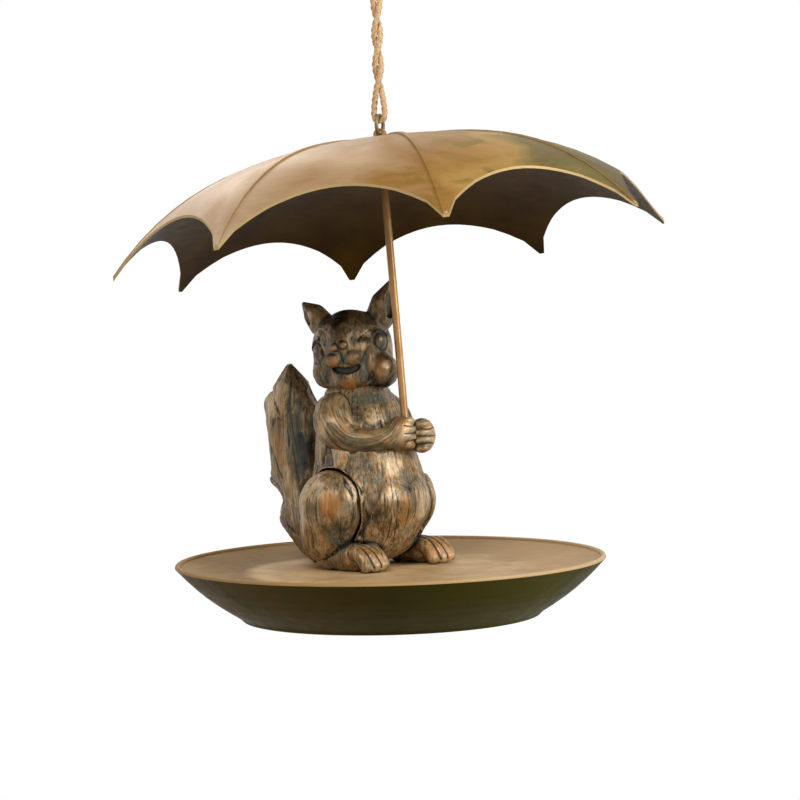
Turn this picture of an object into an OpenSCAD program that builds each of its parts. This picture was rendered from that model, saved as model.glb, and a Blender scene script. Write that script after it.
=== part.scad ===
// Hanging bird feeder: a squirrel stands in a shallow round seed tray and holds a leaning umbrella,
// and the whole hangs by a wire ring from a loop of jute twine.
// The origin is where a hook bears in the top of the twine loop. The squirrel's body faces -Y.

/* [Tray] */
// Diameter of the tray over its rim
tray_d = 90; // [80:1:120]
// Height of the rim above the underside
tray_h = 12; // [10:0.5:18]
// Diameter of the flat underside
tray_foot_d = 64; // [54:1:74]
// Width of the rounded rim
lip_w = 1.2; // [0.8:0.1:2]
// Depth of the seed dish below the rim
dish_depth = 2.4; // [1.6:0.1:5]
// Diameter of the dish's flat floor
dish_floor_d = 58; // [54:1:66]
// How far the outside of the flare swells past a straight cone
flare_swell = 0.5; // [0:0.1:1.5]

/* [Umbrella] */
// Diameter of the umbrella over its tips
canopy_d = 117.4; // [100:1:140]
// Drop from the crown to the tips
canopy_drop = 22.5; // [16:0.5:30]
// Share of the drop that gathers near the rim
rim_share = 0.55; // [0.1:0.05:0.6]
// Thickness of the sheet
sheet = 0.4; // [0.3:0.1:1.4]
// Depth of the scallop between two tips
scallop_depth = 9.2; // [6:0.2:14]
// Width of a blunt tip
tip_w = 1.2; // [1.1:0.1:2.4]
// Width of the raised seam along each rib
rib_w = 1; // [0.8:0.1:2]
// Height of the raised seam
rib_h = 0.4; // [0.2:0.1:0.8]
// Lean of the canopy to the squirrel's back
canopy_lean = 7; // [0:0.5:12]
// Turn of the first rib from the squirrel's left
canopy_turn = 5; // [0:1:44]
// Diameter of the washer on the crown
boss_d = 2.9; // [2.6:0.1:5]
// Thickness of the washer on the crown
boss_h = 0.5; // [0.3:0.1:1]
// Diameter of the collar under the crown
collar_d = 4.4; // [3:0.1:7]
// Length of the collar under the crown
collar_h = 1.6; // [0.8:0.1:4]

/* [Shaft] */
// Diameter of the umbrella's shaft
shaft_d = 1.6; // [1.2:0.1:2.4]
// Length of the shaft below the crown
shaft_len = 64.1; // [62:0.1:67]
// Lean of the shaft to the squirrel's back
shaft_lean = 4.5; // [0:0.5:8]
// Width of the eye forged on the shaft's top end
eye_d = 2.6; // [2.4:0.1:3.4]
// Thickness of the eye
eye_w = 1.2; // [0.8:0.1:1.6]
// Diameter of the hole in the eye
eye_hole_d = 1.3; // [1.1:0.1:1.6]
// Height of the hole above the crown
eye_height = 1.6; // [1.1:0.1:2]

/* [Hanging] */
// Diameter of the ring, to the middle of its wire
ring_d = 4; // [3.6:0.1:6]
// Diameter of the ring's wire
wire_d = 0.8; // [0.6:0.1:0.9]
// Turn of the ring's plane from the squirrel's left
ring_turn = 20; // [0:1:90]
// Diameter of the twine
twine_d = 1.2; // [1:0.1:1.6]
// Height of the twine from the ring's top wire to the knot
twine_rise = 26; // [20:1:60]
// Length of one full twist of the two strands
twist_pitch = 13; // [10:1:30]
// Height of the knot
knot_h = 4; // [3:0.5:6]
// Diameter of the knot
knot_d = 4.6; // [4:0.1:7]
// Height of the loop above the knot, to where the hook bears
loop_h = 12; // [10:1:30]
// Width of the loop, to the middle of the twine
loop_w = 8; // [6:0.5:12]

/* [Squirrel] */
// Distance from the crown's plumb line to the tray's middle, across the squirrel
tray_offset_x = 3.2; // [0:0.1:6]
// Distance from the crown's plumb line to the tray's middle, along the squirrel
tray_offset_y = 2.4; // [0:0.1:6]
// Height of the crown above the tray's underside
crown_height = 98.8; // [97:0.2:103]
// Distance from the tray's middle back to the squirrel's spine
spine_y = 8.5; // [7.5:0.1:9.5]
// Width of the body at the belly
body_w = 26.8; // [23:0.2:29]
// Depth of the body at the belly
body_depth = 25.6; // [23:0.2:27]
// Height of the neck above the floor of the dish
neck_height = 37; // [36:0.2:39]
// Width of the neck
neck_w = 14.6; // [10:0.2:16]
// Distance between the middles of the feet
stance = 19.4; // [17:0.2:22]
// How far the left leg stands in front of the right one
left_step = 2; // [0:0.2:3]
// Length of a foot
foot_len = 17.5; // [15:0.5:20]
// Width of a foot
foot_w = 7.4; // [6:0.2:9]
// Height of a foot
foot_h = 5; // [4:0.2:7]
// Height of a thigh
thigh_h = 18.8; // [15:0.2:21]
// Width of a thigh
thigh_w = 13.4; // [11:0.2:15]
// Thickness of an arm at the elbow
arm_d = 6.2; // [5:0.1:7]
// Height of a fist
fist_h = 7; // [6:0.1:8]
// Height of the fists above the floor of the dish
fist_z = 28; // [27:0.2:30]
// Width of the head over the cheeks
head_w = 17.8; // [15:0.2:19]
// Height of the head without its ears
head_h = 17; // [15:0.2:19]
// Length of the head from nose to nape
head_len = 20; // [17:0.2:22]
// Turn of the head to the squirrel's right
head_turn = 65; // [0:1:80]
// Tilt of the head to the squirrel's right
head_tilt = 4; // [0:1:12]
// Height of an ear
ear_h = 7.6; // [5:0.2:10]
// Width of an ear
ear_w = 6.2; // [4:0.2:8]
// Height of the tail above the floor of the dish
tail_h = 43; // [36:0.5:48]
// Width of the tail
tail_w = 9.8; // [7:0.2:12]
// Depth of the tail's brush
tail_depth = 15.6; // [12:0.2:18]

/* [Screws and fits] */
// Diameter of the screws that hold the squirrel from below
screw_d = 2; // [1.6:0.1:2.6]
// Length of a screw under its head
screw_len = 13; // [12:0.5:14]
// Diameter of a screw's head
screw_head_d = 4; // [3:0.1:5]
// Height of a screw's head
screw_head_h = 1.4; // [1:0.1:2]
// Gap round a rod in a fixed hole
rod_fit = 0.03; // [0.02:0.01:0.1]
// Gap between two seated castings
seat_gap = 0.05; // [0.03:0.01:0.2]
// Gap between the twine and the ring's wire
twine_gap = 0.15; // [0.1:0.01:0.3]

/* [Hidden] */
RIBS = 8;
PANELS = [for (i = [1:RIBS]) str("canopy_panel_", i)];
SEAMS = [for (i = [1:RIBS]) str("canopy_rib_", i)];

// heights below the hook
eye_z = -(loop_h + knot_h + twine_rise + ring_d);
crown_drop = eye_height * cos(shaft_lean);
tray_z = eye_z - crown_drop - crown_height;
ring_top = eye_z + ring_d;
knot_z = ring_top + twine_rise;
crown_y = -eye_height * sin(shaft_lean);

// profile of the tray
rim_r = tray_d / 2;
foot_r = tray_foot_d / 2;
floor_r = dish_floor_d / 2;
floor_z = tray_h - dish_depth;
foot_edge = 0.8;
wall_top_drop = lip_w / 2;

// canopy curve
canopy_r = canopy_d / 2;
sector = 360 / RIBS;
profile_steps = 16;
scallop_steps = 16;
canopy_hole_r = shaft_d / 2 + 0.3;
solder = 0.02;

// squirrel
form_sides = 24;
toe_sides = 12;
toes = 4;
fingers = 4;
shaft_in_tray_y = tray_offset_y + crown_y - (crown_height - floor_z - fist_z) * tan(shaft_lean);
fist_y = shaft_in_tray_y - spine_y;
head_z = neck_height + 9.1;
screw_y = -1;
screw_x = stance / 2;

function drop(t) = canopy_drop * (rim_share * pow(t, 4) + (1 - rim_share) * t * t);
function slope(t) = canopy_drop / canopy_r * (4 * rim_share * pow(t, 3) + 2 * (1 - rim_share) * t);
function sheet_under(t) = drop(t) + sheet * sqrt(1 + slope(t) * slope(t));
function radii(r0, r1) = [for (i = [0:profile_steps]) r0 + (r1 - r0) * i / profile_steps];
function edge_r(s) = canopy_r - scallop_depth * pow(4 * s * (1 - s), 0.81);
function polar(r, a) = [r * cos(a), r * sin(a)];
function reversed(list) = [for (i = [len(list) - 1:-1:0]) list[i]];

// A tube swept along points that lie near one upright plane, whose sideways direction is "side"
function unit(v) = v / norm(v);
function heading(path, i) =
    unit(path[min(i + 1, len(path) - 1)] - path[max(i - 1, 0)]);
function ring_points(path, i, r, sides, side) =
    let (d = heading(path, i), a = unit(side - (side * d) * d), b = cross(d, a))
    [for (k = [0:sides - 1]) path[i] + r * (cos(360 * k / sides) * a + sin(360 * k / sides) * b)];

module tube(path, d, side, sides = 8) {
    rings = len(path);
    points = [for (i = [0:rings - 1]) each ring_points(path, i, d / 2, sides, side)];
    walls = [for (i = [0:rings - 2], k = [0:sides - 1], half = [0, 1])
        let (a = i * sides + k, b = i * sides + (k + 1) % sides)
        half == 0 ? [a, a + sides, b + sides] : [a, b + sides, b]];
    start = [[for (k = [0:sides - 1]) k]];
    finish = [[for (k = [sides - 1:-1:0]) (rings - 1) * sides + k]];
    polyhedron(points = points, faces = concat(walls, start, finish), convexity = 4);
}

// Frames that the pieces are placed in
module on_tray() {
    translate([-tray_offset_x, -tray_offset_y, tray_z]) children();
}
module on_floor() {
    on_tray() translate([tray_offset_x, spine_y, floor_z]) children();
}
module on_shaft() {
    translate([0, 0, eye_z]) rotate([-shaft_lean, 0, 0]) children();
}
module on_crown() {
    on_shaft() translate([0, 0, -eye_height]) rotate([shaft_lean - canopy_lean, 0, 0]) children();
}
module along_ring() {
    rotate([0, 0, ring_turn]) children();
}

// Tray: one turned casting with a rounded rim, a flared outside and a shallow dish
module tray_profile() {
    flare = [for (i = [0:6])
        let (s = i / 6, bulge = flare_swell * sin(180 * s))
        [foot_r + (rim_r - foot_r) * s + bulge, foot_edge + (tray_h - wall_top_drop - foot_edge) * s - bulge]];
    lip = [for (a = [20:20:160]) [rim_r - lip_w / 2 + lip_w / 2 * cos(a), tray_h - lip_w / 2 + lip_w / 2 * sin(a)]];
    dish = [for (i = [0:5])
        let (s = i / 5)
        [rim_r - lip_w - (rim_r - lip_w - floor_r) * s,
         floor_z + (dish_depth - lip_w / 2) * pow(1 - s, 2)]];
    polygon(concat([[0, 0], [foot_r - foot_edge, 0]], flare, lip, dish, [[0, floor_z]]));
}

module screw_places() {
    for (side = [-1, 1]) translate([tray_offset_x + side * screw_x, spine_y + screw_y, 0]) children();
}

module tray() {
    color("darkgoldenrod") on_tray() difference() {
        rotate_extrude($fn = 120) tray_profile();
        screw_places() {
            translate([0, 0, -1]) cylinder(r = screw_d / 2 + 0.2, h = tray_h + 2, $fn = 32);
            translate([0, 0, -1]) cylinder(r = screw_head_d / 2 + 0.3, h = 1 + screw_head_h + 0.3, $fn = 32);
        }
    }
}

module tray_screws() {
    color("silver") on_tray() screw_places() difference() {
        union() {
            translate([0, 0, 0.3]) cylinder(d = screw_head_d, h = screw_head_h, $fn = 32);
            translate([0, 0, 0.3 + screw_head_h]) cylinder(d = screw_d, h = screw_len, $fn = 32);
        }
        translate([-screw_head_d, -0.3, 0]) cube([2 * screw_head_d, 0.6, 0.3 + screw_head_h / 2]);
    }
}

// Squirrel: each form is a rounded body between two places, given as [place, half sizes]
module blob(place, half, grow = 0, sides = form_sides) {
    translate(place) scale(half + [grow, grow, grow]) sphere(r = 1, $fn = sides);
}
module chain(stations, grow = 0, sides = form_sides) {
    for (i = [0:len(stations) - 2]) hull() {
        blob(stations[i][0], stations[i][1], grow, sides);
        blob(stations[i + 1][0], stations[i + 1][1], grow, sides);
    }
}

module torso(grow = 0) {
    w = body_w / 2;
    d = body_depth / 2;
    chain([
        [[0, 0.4, 7.2], [0.8 * w, 0.82 * d, 6.6]],
        [[0, -0.4, 14], [w, d, 9.6]],
        [[0, 0.1, 0.6 * neck_height], [0.84 * w, 0.84 * d, 6.6]],
        [[0, 1, 0.8 * neck_height], [0.8 * w, 0.72 * d, 5.4]],
        [[0, 2, 0.98 * neck_height], [neck_w / 2, 0.48 * neck_w, 3.4]]
    ], grow, 28);
}

module thigh(side) {
    w = thigh_w / 2;
    x = side * (body_w / 2 - 3.4);
    y = 0.2 - side * left_step / 2;
    chain([
        [[x, y, 0.54 * thigh_h], [w, 1.04 * w, 0.46 * thigh_h]],
        [[x - 0.4 * side, y - 0.6, 0.74 * thigh_h], [0.94 * w, w, 0.4 * thigh_h]]
    ]);
}

module foot(side) {
    x = side * stance / 2;
    toe_w = foot_w / toes;
    heel_y = 3.1 - side * left_step / 2;
    toe_y = heel_y + 1.5 - foot_len;
    chain([
        [[x, heel_y - 2, foot_h / 2], [0.44 * foot_w, 3.5, foot_h / 2]],
        [[x, toe_y + 5.6, foot_h / 2], [0.5 * foot_w, 3.4, foot_h / 2]]
    ], 0, 16);
    for (i = [0:toes - 1]) {
        tx = x + (i - (toes - 1) / 2) * toe_w;
        reach = abs(i - (toes - 1) / 2) > 1 ? 0.8 : 0;
        chain([
            [[tx, toe_y + 4.2, 0.5 * foot_h], [0.58 * toe_w, 1.8, 0.46 * foot_h]],
            [[tx, toe_y + 1.4 + reach, 0.28 * foot_h], [0.54 * toe_w, 1.4, 0.28 * foot_h]]
        ], 0, toe_sides);
    }
}

module body_form() {
    torso();
    for (side = [-1, 1]) {
        thigh(side);
        foot(side);
    }
}

// All that lies lower than the seat of the squirrel's castings
module below_seat() {
    translate([-rim_r, -rim_r, seat_gap - tray_d]) cube(tray_d);
}

module squirrel_body() {
    color("#6b5a3c") difference() {
        difference() {
            on_floor() body_form();
            on_floor() below_seat();
            on_head() skull(seat_gap);
        }
        shaft_bore();
        on_tray() screw_places() translate([0, 0, floor_z - 1])
            cylinder(r = screw_d / 2 + rod_fit, h = screw_len - floor_z + screw_head_h + 1.6, $fn = 32);
    }
}

module on_head() {
    on_floor() translate([0.3, 3.1, head_z]) rotate([0, 0, -head_turn]) rotate([0, -head_tilt, 0]) children();
}

// The right ear lies further out than the left one
module ear(side) {
    spread = side < 0 ? 3.8 : 2.4;
    rise = side < 0 ? ear_h - 2.6 : ear_h;
    base = [side * 0.37 * head_w, 1.2, 0.32 * head_h];
    tip = [side * (0.37 * head_w + spread), 1, 0.32 * head_h + rise];
    difference() {
        chain([
            [base, [0.46 * ear_w, 0.46 * ear_w, 2.6]],
            [0.55 * base + 0.45 * tip - [side * 0.5, 0, 0], [0.34 * ear_w, 0.38 * ear_w, 2]],
            [tip, [0.4, 0.4, 0.4]]
        ], 0, 16);
        hull() {
            blob(base + [side * 0.44 * ear_w, -0.8, 2.2], [1, 0.26 * ear_w, 1], 0, 12);
            blob(tip + [side * 0.4, -0.5, -1.6], [0.5, 0.4, 0.6], 0, 12);
        }
    }
}

// Skull and jaw, which the neck, the tail and the arms are fitted round
module skull(grow = 0) {
    w = head_w / 2;
    h = head_h / 2;
    l = head_len / 2;
    hull() {
        blob([0, 0.8, 0.5], [0.95 * w, 0.88 * l, 0.9 * h], grow);
        blob([0, -0.8, -0.5 * h], [0.96 * w, 0.78 * l, 0.62 * h], grow);
    }
}

module head_form() {
    w = head_w / 2;
    h = head_h / 2;
    l = head_len / 2;
    nose_y = -l - 0.2;
    difference() {
        union() {
            skull();
            for (side = [-1, 1]) hull() {
                blob([side * 0.62 * w, -2.2, -0.35 * h], [3.4, 4, 3.6], 0, 16);
                blob([side * 0.2 * w, -0.66 * l, -0.2 * h], [2.4, 2.6, 2.4], 0, 16);
            }
            hull() {
                blob([0, -4, 0.8], [4.2, 4, 3.6], 0, 20);
                blob([0, nose_y + 2.2, 0.2], [2.4, 2, 1.9], 0, 20);
            }
            hull() {
                blob([0, -3, -0.58 * h], [4.4, 3.4, 2.6], 0, 16);
                blob([0, -0.72 * l, -0.62 * h], [2.4, 1.6, 1.3], 0, 16);
            }
            hull() {
                blob([-0.6, nose_y + 0.7, 1], [0.8, 0.7, 0.7], 0, toe_sides);
                blob([0.6, nose_y + 0.7, 1], [0.8, 0.7, 0.7], 0, toe_sides);
            }
            for (side = [-1, 1]) ear(side);
        }
        for (side = [-1, 1]) hull() {
            blob([side * 0.86 * w, -0.4 * l, 0.12 * h], [1.7, 2.2, 1.8], 0, toe_sides);
            blob([side * 0.94 * w, -0.44 * l, 0.12 * h], [1.5, 2.2, 1.8], 0, toe_sides);
        }
        hull() for (side = [-1, 1])
            blob([side * 2, -0.86 * l, -0.48 * h], [0.9, 2.2, 0.7], 0, toe_sides);
    }
    for (side = [-1, 1]) hull() {
        blob([side * 0.69 * w, -0.38 * l, 0.12 * h], [1.6, 1.9, 1.6], 0, toe_sides);
        blob([side * 0.67 * w, -0.38 * l, 0.12 * h], [1.6, 1.9, 1.6], 0, toe_sides);
    }
}

module squirrel_head() {
    color("#5f5038") on_head() head_form();
}

module squirrel_tail() {
    w = tail_w / 2;
    d = tail_depth / 2;
    color("#64533a") difference() {
        on_floor() chain([
            [[0, 11, 0.11 * tail_h], [0.8 * w, 0.5 * d, 4]],
            [[0, 16, 0.27 * tail_h], [0.94 * w, 0.78 * d, 5]],
            [[0, 19.4, 0.47 * tail_h], [w, 0.9 * d, 5.6]],
            [[0, 20.3, 0.7 * tail_h], [w, d, 5.4]],
            [[0, 20.8, 0.86 * tail_h], [0.76 * w, 0.6 * d, 3.6]],
            [[0, 21.3, 0.98 * tail_h], [0.2 * w, 0.15 * d, 0.8]]
        ]);
        on_floor() {
            torso(seat_gap);
            below_seat();
        }
        on_head() skull(seat_gap);
    }
}

// Arm: shoulder, elbow and wrist, then a fist of four fingers round a palm
module arm_form(side, palm, grow = 0) {
    r = arm_d / 2;
    shoulder = [side * 0.26 * body_w, 0.6, 0.86 * neck_height];
    elbow = [side * 0.35 * body_w, 1.2, fist_z - 1.6];
    wrist = palm + [side * 4.2, 2.6, -0.4];
    chain([
        [shoulder, [1.45 * r, 1.6 * r, 1.45 * r]],
        [elbow, [1.04 * r, 1.1 * r, 1.04 * r]],
        [wrist, [0.78 * r, 0.78 * r, 0.84 * r]],
        [palm, [0.7 * r, 0.66 * r, 0.36 * fist_h]]
    ], grow, 18);
    for (i = [0:fingers - 1]) {
        z = palm[2] + (i - (fingers - 1) / 2) * fist_h / fingers;
        hull() {
            blob([palm[0] + side * 0.6, palm[1] - 0.5, z], [2, 1.9, 0.56 * fist_h / fingers], grow, toe_sides);
            blob([palm[0] - side * 0.9, palm[1] - 0.3, z], [1.6, 1.7, 0.56 * fist_h / fingers], grow, toe_sides);
        }
    }
}
right_palm = [-1.1, fist_y, fist_z + 0.4];
left_palm = [2.9, fist_y - 1.2, fist_z - 0.4];

module shaft_bore() {
    on_shaft() translate([0, 0, -eye_height - shaft_len - seat_gap])
        cylinder(r = shaft_d / 2 + rod_fit, h = shaft_len + eye_height, $fn = 32);
}

module right_arm() {
    color("#6f5c3e") difference() {
        on_floor() difference() {
            arm_form(-1, right_palm);
            torso(seat_gap);
        }
        on_head() skull(seat_gap);
        shaft_bore();
    }
}

module left_arm() {
    color("#6f5c3e") difference() {
        on_floor() difference() {
            arm_form(1, left_palm);
            torso(seat_gap);
            arm_form(-1, right_palm, seat_gap);
        }
        on_head() skull(seat_gap);
        shaft_bore();
    }
}

// Shaft: a straight rod whose top end is forged into a flat eye
module umbrella_shaft() {
    color("peru") difference() {
        union() {
            on_shaft() translate([0, 0, -eye_height - shaft_len])
                cylinder(d = shaft_d, h = shaft_len + eye_height - eye_hole_d / 2, $fn = 32);
            translate([0, 0, eye_z]) along_ring() rotate([0, 90, 0])
                cylinder(d = eye_d, h = eye_w, center = true, $fn = 48);
        }
        translate([0, 0, eye_z]) along_ring() rotate([0, 90, 0])
            cylinder(d = eye_hole_d, h = 4 * eye_w, center = true, $fn = 48);
    }
}

module canopy_collar() {
    under = sheet_under(collar_d / 2 / canopy_r);
    color("peru") difference() {
        on_crown() translate([0, 0, -under - seat_gap - collar_h])
            cylinder(d = collar_d, h = collar_h, $fn = 48);
        on_shaft() translate([0, 0, -20]) cylinder(r = shaft_d / 2 + rod_fit, h = 30, $fn = 32);
    }
}

module crown_washer() {
    color("darkkhaki") difference() {
        on_crown() cylinder(d = boss_d, h = boss_h, $fn = 48);
        on_shaft() translate([0, 0, -20]) cylinder(r = shaft_d / 2 + rod_fit, h = 30, $fn = 32);
        translate([0, 0, eye_z]) along_ring() rotate([0, 90, 0])
            cylinder(d = eye_d + 2 * rod_fit, h = eye_w + 2 * rod_fit, center = true, $fn = 48);
    }
}

// Canopy: eight gores of one revolved sheet, cut to a scalloped edge, with a raised seam on each rib
module canopy_outline() {
    half_tip = asin(tip_w / 2 / canopy_r);
    polygon([for (i = [0:RIBS - 1]) each concat(
        [polar(canopy_r, sector * i - half_tip), polar(canopy_r, sector * i + half_tip)],
        [for (k = [1:scallop_steps - 1]) polar(edge_r(k / scallop_steps), sector * (i + k / scallop_steps))])]);
}

module canopy_panel(i) {
    r = radii(canopy_hole_r, canopy_r + 1);
    top = [for (x = r) [x, -drop(x / canopy_r)]];
    under = [for (x = reversed(r)) [x, -sheet_under(x / canopy_r)]];
    color("goldenrod") on_crown() rotate([0, 0, canopy_turn]) intersection() {
        rotate([0, 0, sector * i]) rotate_extrude(angle = sector, $fn = 96) polygon(concat(top, under));
        translate([0, 0, -2 * canopy_drop]) linear_extrude(height = 3 * canopy_drop) canopy_outline();
    }
}

module canopy_rib(i) {
    inner_r = boss_d / 2 + seat_gap;
    r = radii(canopy_hole_r, canopy_r + 1);
    low = [for (x = r) [x, -drop(x / canopy_r) + solder]];
    high = [for (x = reversed(r)) [x, -drop(x / canopy_r) + rib_h]];
    half_turn = 24;
    color("darkkhaki") on_crown() rotate([0, 0, canopy_turn + sector * i]) intersection() {
        rotate([0, 0, -half_turn]) rotate_extrude(angle = 2 * half_turn, $fn = 96) polygon(concat(low, high));
        translate([0, 0, -2 * canopy_drop]) linear_extrude(height = 3 * canopy_drop) union() {
            translate([inner_r, -rib_w / 2]) square([canopy_r - rib_w / 2 - inner_r, rib_w]);
            translate([canopy_r - rib_w / 2, 0]) circle(d = rib_w, $fn = 32);
        }
    }
}

module hanging_ring() {
    color("darkkhaki") translate([0, 0, eye_z + ring_d / 2]) along_ring() rotate([90, 0, 0])
        rotate_extrude($fn = 64) translate([ring_d / 2, 0]) circle(d = wire_d, $fn = 24);
}

// Twine: a bight through the ring, two strands twisted together, a knot and a loop
strand_r = wire_d / 2 + twine_gap + twine_d / 2;
pair_r = 0.54 * twine_d;
bight_top = 0.6;
end_straight = 0.6;
strand_steps = 20;

module ring_bight() {
    color("burlywood") translate([0, 0, ring_top]) along_ring() {
        rotate([90, 0, 90]) rotate([0, 0, 180]) rotate_extrude(angle = 180, $fn = 64)
            translate([strand_r, 0]) circle(d = twine_d, $fn = 24);
        for (side = [-1, 1]) translate([0, side * strand_r, 0]) cylinder(d = twine_d, h = bight_top, $fn = 24);
    }
}

// The strands start and end upright, close on each other over the first stretch and twist from there
function strand_point(start, rise) =
    let (close = min(1, rise / 4),
         r = strand_r + (pair_r - strand_r) * close * close * (3 - 2 * close),
         turn = start + 360 * max(0, rise - 2) / twist_pitch)
    [r * cos(turn), r * sin(turn), ring_top + bight_top + end_straight + rise];
function strand_path(start) =
    let (run = twine_rise - bight_top - 2 * end_straight,
         wound = [for (i = [0:strand_steps]) strand_point(start, run * i / strand_steps)])
    concat([wound[0] - [0, 0, end_straight]], wound, [wound[strand_steps] + [0, 0, end_straight]]);

module twine_strands() {
    color("burlywood") along_ring() for (start = [90, 270]) tube(strand_path(start), twine_d, [1, 0, 0]);
}

module twine_knot() {
    r = knot_d / 2;
    neck_r = pair_r + twine_d / 2 + 0.1;
    side = [for (i = [0:12])
        let (s = i / 12)
        [neck_r + (r - neck_r) * pow(sin(180 * s), 0.6) * (0.93 + 0.07 * cos(720 * s)), knot_h * s]];
    color("burlywood") translate([0, 0, knot_z])
        rotate_extrude($fn = 48) polygon(concat([[0, 0]], side, [[0, knot_h]]));
}

module hanging_loop() {
    r = loop_w / 2;
    top = twine_d / 2 - r;
    z0 = knot_z + knot_h;
    leg = [[pair_r, z0], [pair_r, z0 + end_straight], [0.4 * r, z0 + 2.6], [0.75 * r, z0 + 4.8],
           [0.95 * r, top - 1.6]];
    arc = [for (a = [0:22.5:180]) [r * cos(a), top + r * sin(a)]];
    path = concat(leg, arc, [for (p = reversed(leg)) [-p[0], p[1]]]);
    color("burlywood") along_ring() tube([for (p = path) [0, p[0], p[1]]], twine_d, [1, 0, 0]);
}

tray();
tray_screws();
squirrel_body();
squirrel_head();
squirrel_tail();
right_arm();
left_arm();
umbrella_shaft();
canopy_collar();
crown_washer();
hanging_ring();
ring_bight();
twine_strands();
twine_knot();
hanging_loop();
canopy_panel(0);  // canopy_panel_1
canopy_panel(1);  // canopy_panel_2
canopy_panel(2);  // canopy_panel_3
canopy_panel(3);  // canopy_panel_4
canopy_panel(4);  // canopy_panel_5
canopy_panel(5);  // canopy_panel_6
canopy_panel(6);  // canopy_panel_7
canopy_panel(7);  // canopy_panel_8
canopy_rib(0);  // canopy_rib_1
canopy_rib(1);  // canopy_rib_2
canopy_rib(2);  // canopy_rib_3
canopy_rib(3);  // canopy_rib_4
canopy_rib(4);  // canopy_rib_5
canopy_rib(5);  // canopy_rib_6
canopy_rib(6);  // canopy_rib_7
canopy_rib(7);  // canopy_rib_8
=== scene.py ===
from math import cos, pi, radians, sin

import bpy
import numpy as np
import openvdb
from mathutils import Matrix, Vector
from mathutils.kdtree import KDTree


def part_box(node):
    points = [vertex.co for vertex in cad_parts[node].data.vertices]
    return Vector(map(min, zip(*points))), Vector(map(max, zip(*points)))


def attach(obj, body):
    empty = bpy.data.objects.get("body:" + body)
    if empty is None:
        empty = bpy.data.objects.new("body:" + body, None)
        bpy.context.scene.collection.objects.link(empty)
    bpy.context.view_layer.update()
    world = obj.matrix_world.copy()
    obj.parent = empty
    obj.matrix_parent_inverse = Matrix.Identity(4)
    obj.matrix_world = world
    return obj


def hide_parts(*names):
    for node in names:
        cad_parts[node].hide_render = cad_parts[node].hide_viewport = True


# Looks of a small hanging bird feeder: a carved squirrel in a shallow tray holds a leaning
# umbrella, and the whole hangs by a wire ring from a loop of jute. Lengths are millimetres in the
# frame's axes.
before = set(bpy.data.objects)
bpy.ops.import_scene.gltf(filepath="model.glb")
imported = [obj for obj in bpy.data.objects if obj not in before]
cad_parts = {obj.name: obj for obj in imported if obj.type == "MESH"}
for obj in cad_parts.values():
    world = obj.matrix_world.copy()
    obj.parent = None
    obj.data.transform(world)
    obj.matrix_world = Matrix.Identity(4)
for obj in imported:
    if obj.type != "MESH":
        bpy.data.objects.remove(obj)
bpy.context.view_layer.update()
MM = 0.001

# Places that the pieces are set out from
TRAY_LOW, TRAY_HIGH = (np.array(corner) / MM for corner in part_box("tray"))
TRAY_AT = np.append((TRAY_LOW + TRAY_HIGH)[:2] / 2, TRAY_LOW[2])
SPINE_FROM_TRAY = np.array([3.2, 8.5, 9.6])
BODY_AT = TRAY_AT + SPINE_FROM_TRAY
EYE_Z = -46
CANOPY_LEAN = radians(7)
RING_TURN = radians(20)


def lengths(rows):
    return np.linalg.norm(rows, axis=1)


def unit(rows, tiny=0):
    """Each row brought to length 1."""
    return rows / (lengths(rows)[:, None] + tiny)


def dots(a, b):
    return np.einsum("ij,ij->i", a, b)


# Camera at the photograph's place, and a plain studio

CAMERA_AT = (-401.1, -340.05, -77.54)
CAMERA_RIGHT = (0.641588, -0.766564, -0.0273)
CAMERA_UP = (0.052677, 0.008527, 0.998575)
CAMERA_LENS = 112.67
CAMERA_SENSOR = 36
CAMERA_CLIP = 10
STUDIO_DIM = 0.3
GROUND_DROP = 95
GROUND_R = 900
GROUND_SIDES = 96
GROUND_FADE = (100, 250)

# Name, place, aim, size, watts and colour
LAMPS = (
    ("key", (-430, -200, 330), (0, 0, -80), 300, 2.1, (1, 0.97, 0.93)),
    ("fill", (100, -480, 60), (0, 0, -100), 260, 1.6, (1, 0.98, 0.95)),
    ("back", (250, 380, 260), (0, 0, -60), 300, 0.8, (1, 1, 1)))


def add_object(name, data):
    made = bpy.data.objects.new(name, data)
    bpy.context.scene.collection.objects.link(made)
    return made


def add_shape(name, points, faces, material):
    """An object from points in millimetres."""
    mesh = bpy.data.meshes.new(name)
    mesh.from_pydata((np.asarray(points) * MM).tolist(), [], [list(f) for f in faces])
    mesh.materials.append(material)
    return add_object(name, mesh)


def add_camera():
    data = bpy.data.cameras.new("camera")
    data.lens = CAMERA_LENS
    data.sensor_width = CAMERA_SENSOR
    data.clip_start = CAMERA_CLIP * MM
    right, up = Vector(CAMERA_RIGHT).normalized(), Vector(CAMERA_UP)
    back = right.cross(up).normalized()
    turn = Matrix((right, back.cross(right), back)).transposed().to_4x4()
    camera = add_object("camera", data)
    camera.matrix_world = Matrix.Translation(Vector(CAMERA_AT) * MM) @ turn
    bpy.context.scene.camera = camera


def add_lamp(name, place, aim, size, watts, colour):
    data = bpy.data.lights.new(name, "AREA")
    data.shape = "DISK"
    data.size = size * MM
    data.energy = watts
    data.color = colour
    lamp = add_object(name, data)
    lamp.location = Vector(place) * MM
    lamp.rotation_euler = (Vector(place) - Vector(aim)).to_track_quat("Z", "Y").to_euler()


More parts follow.
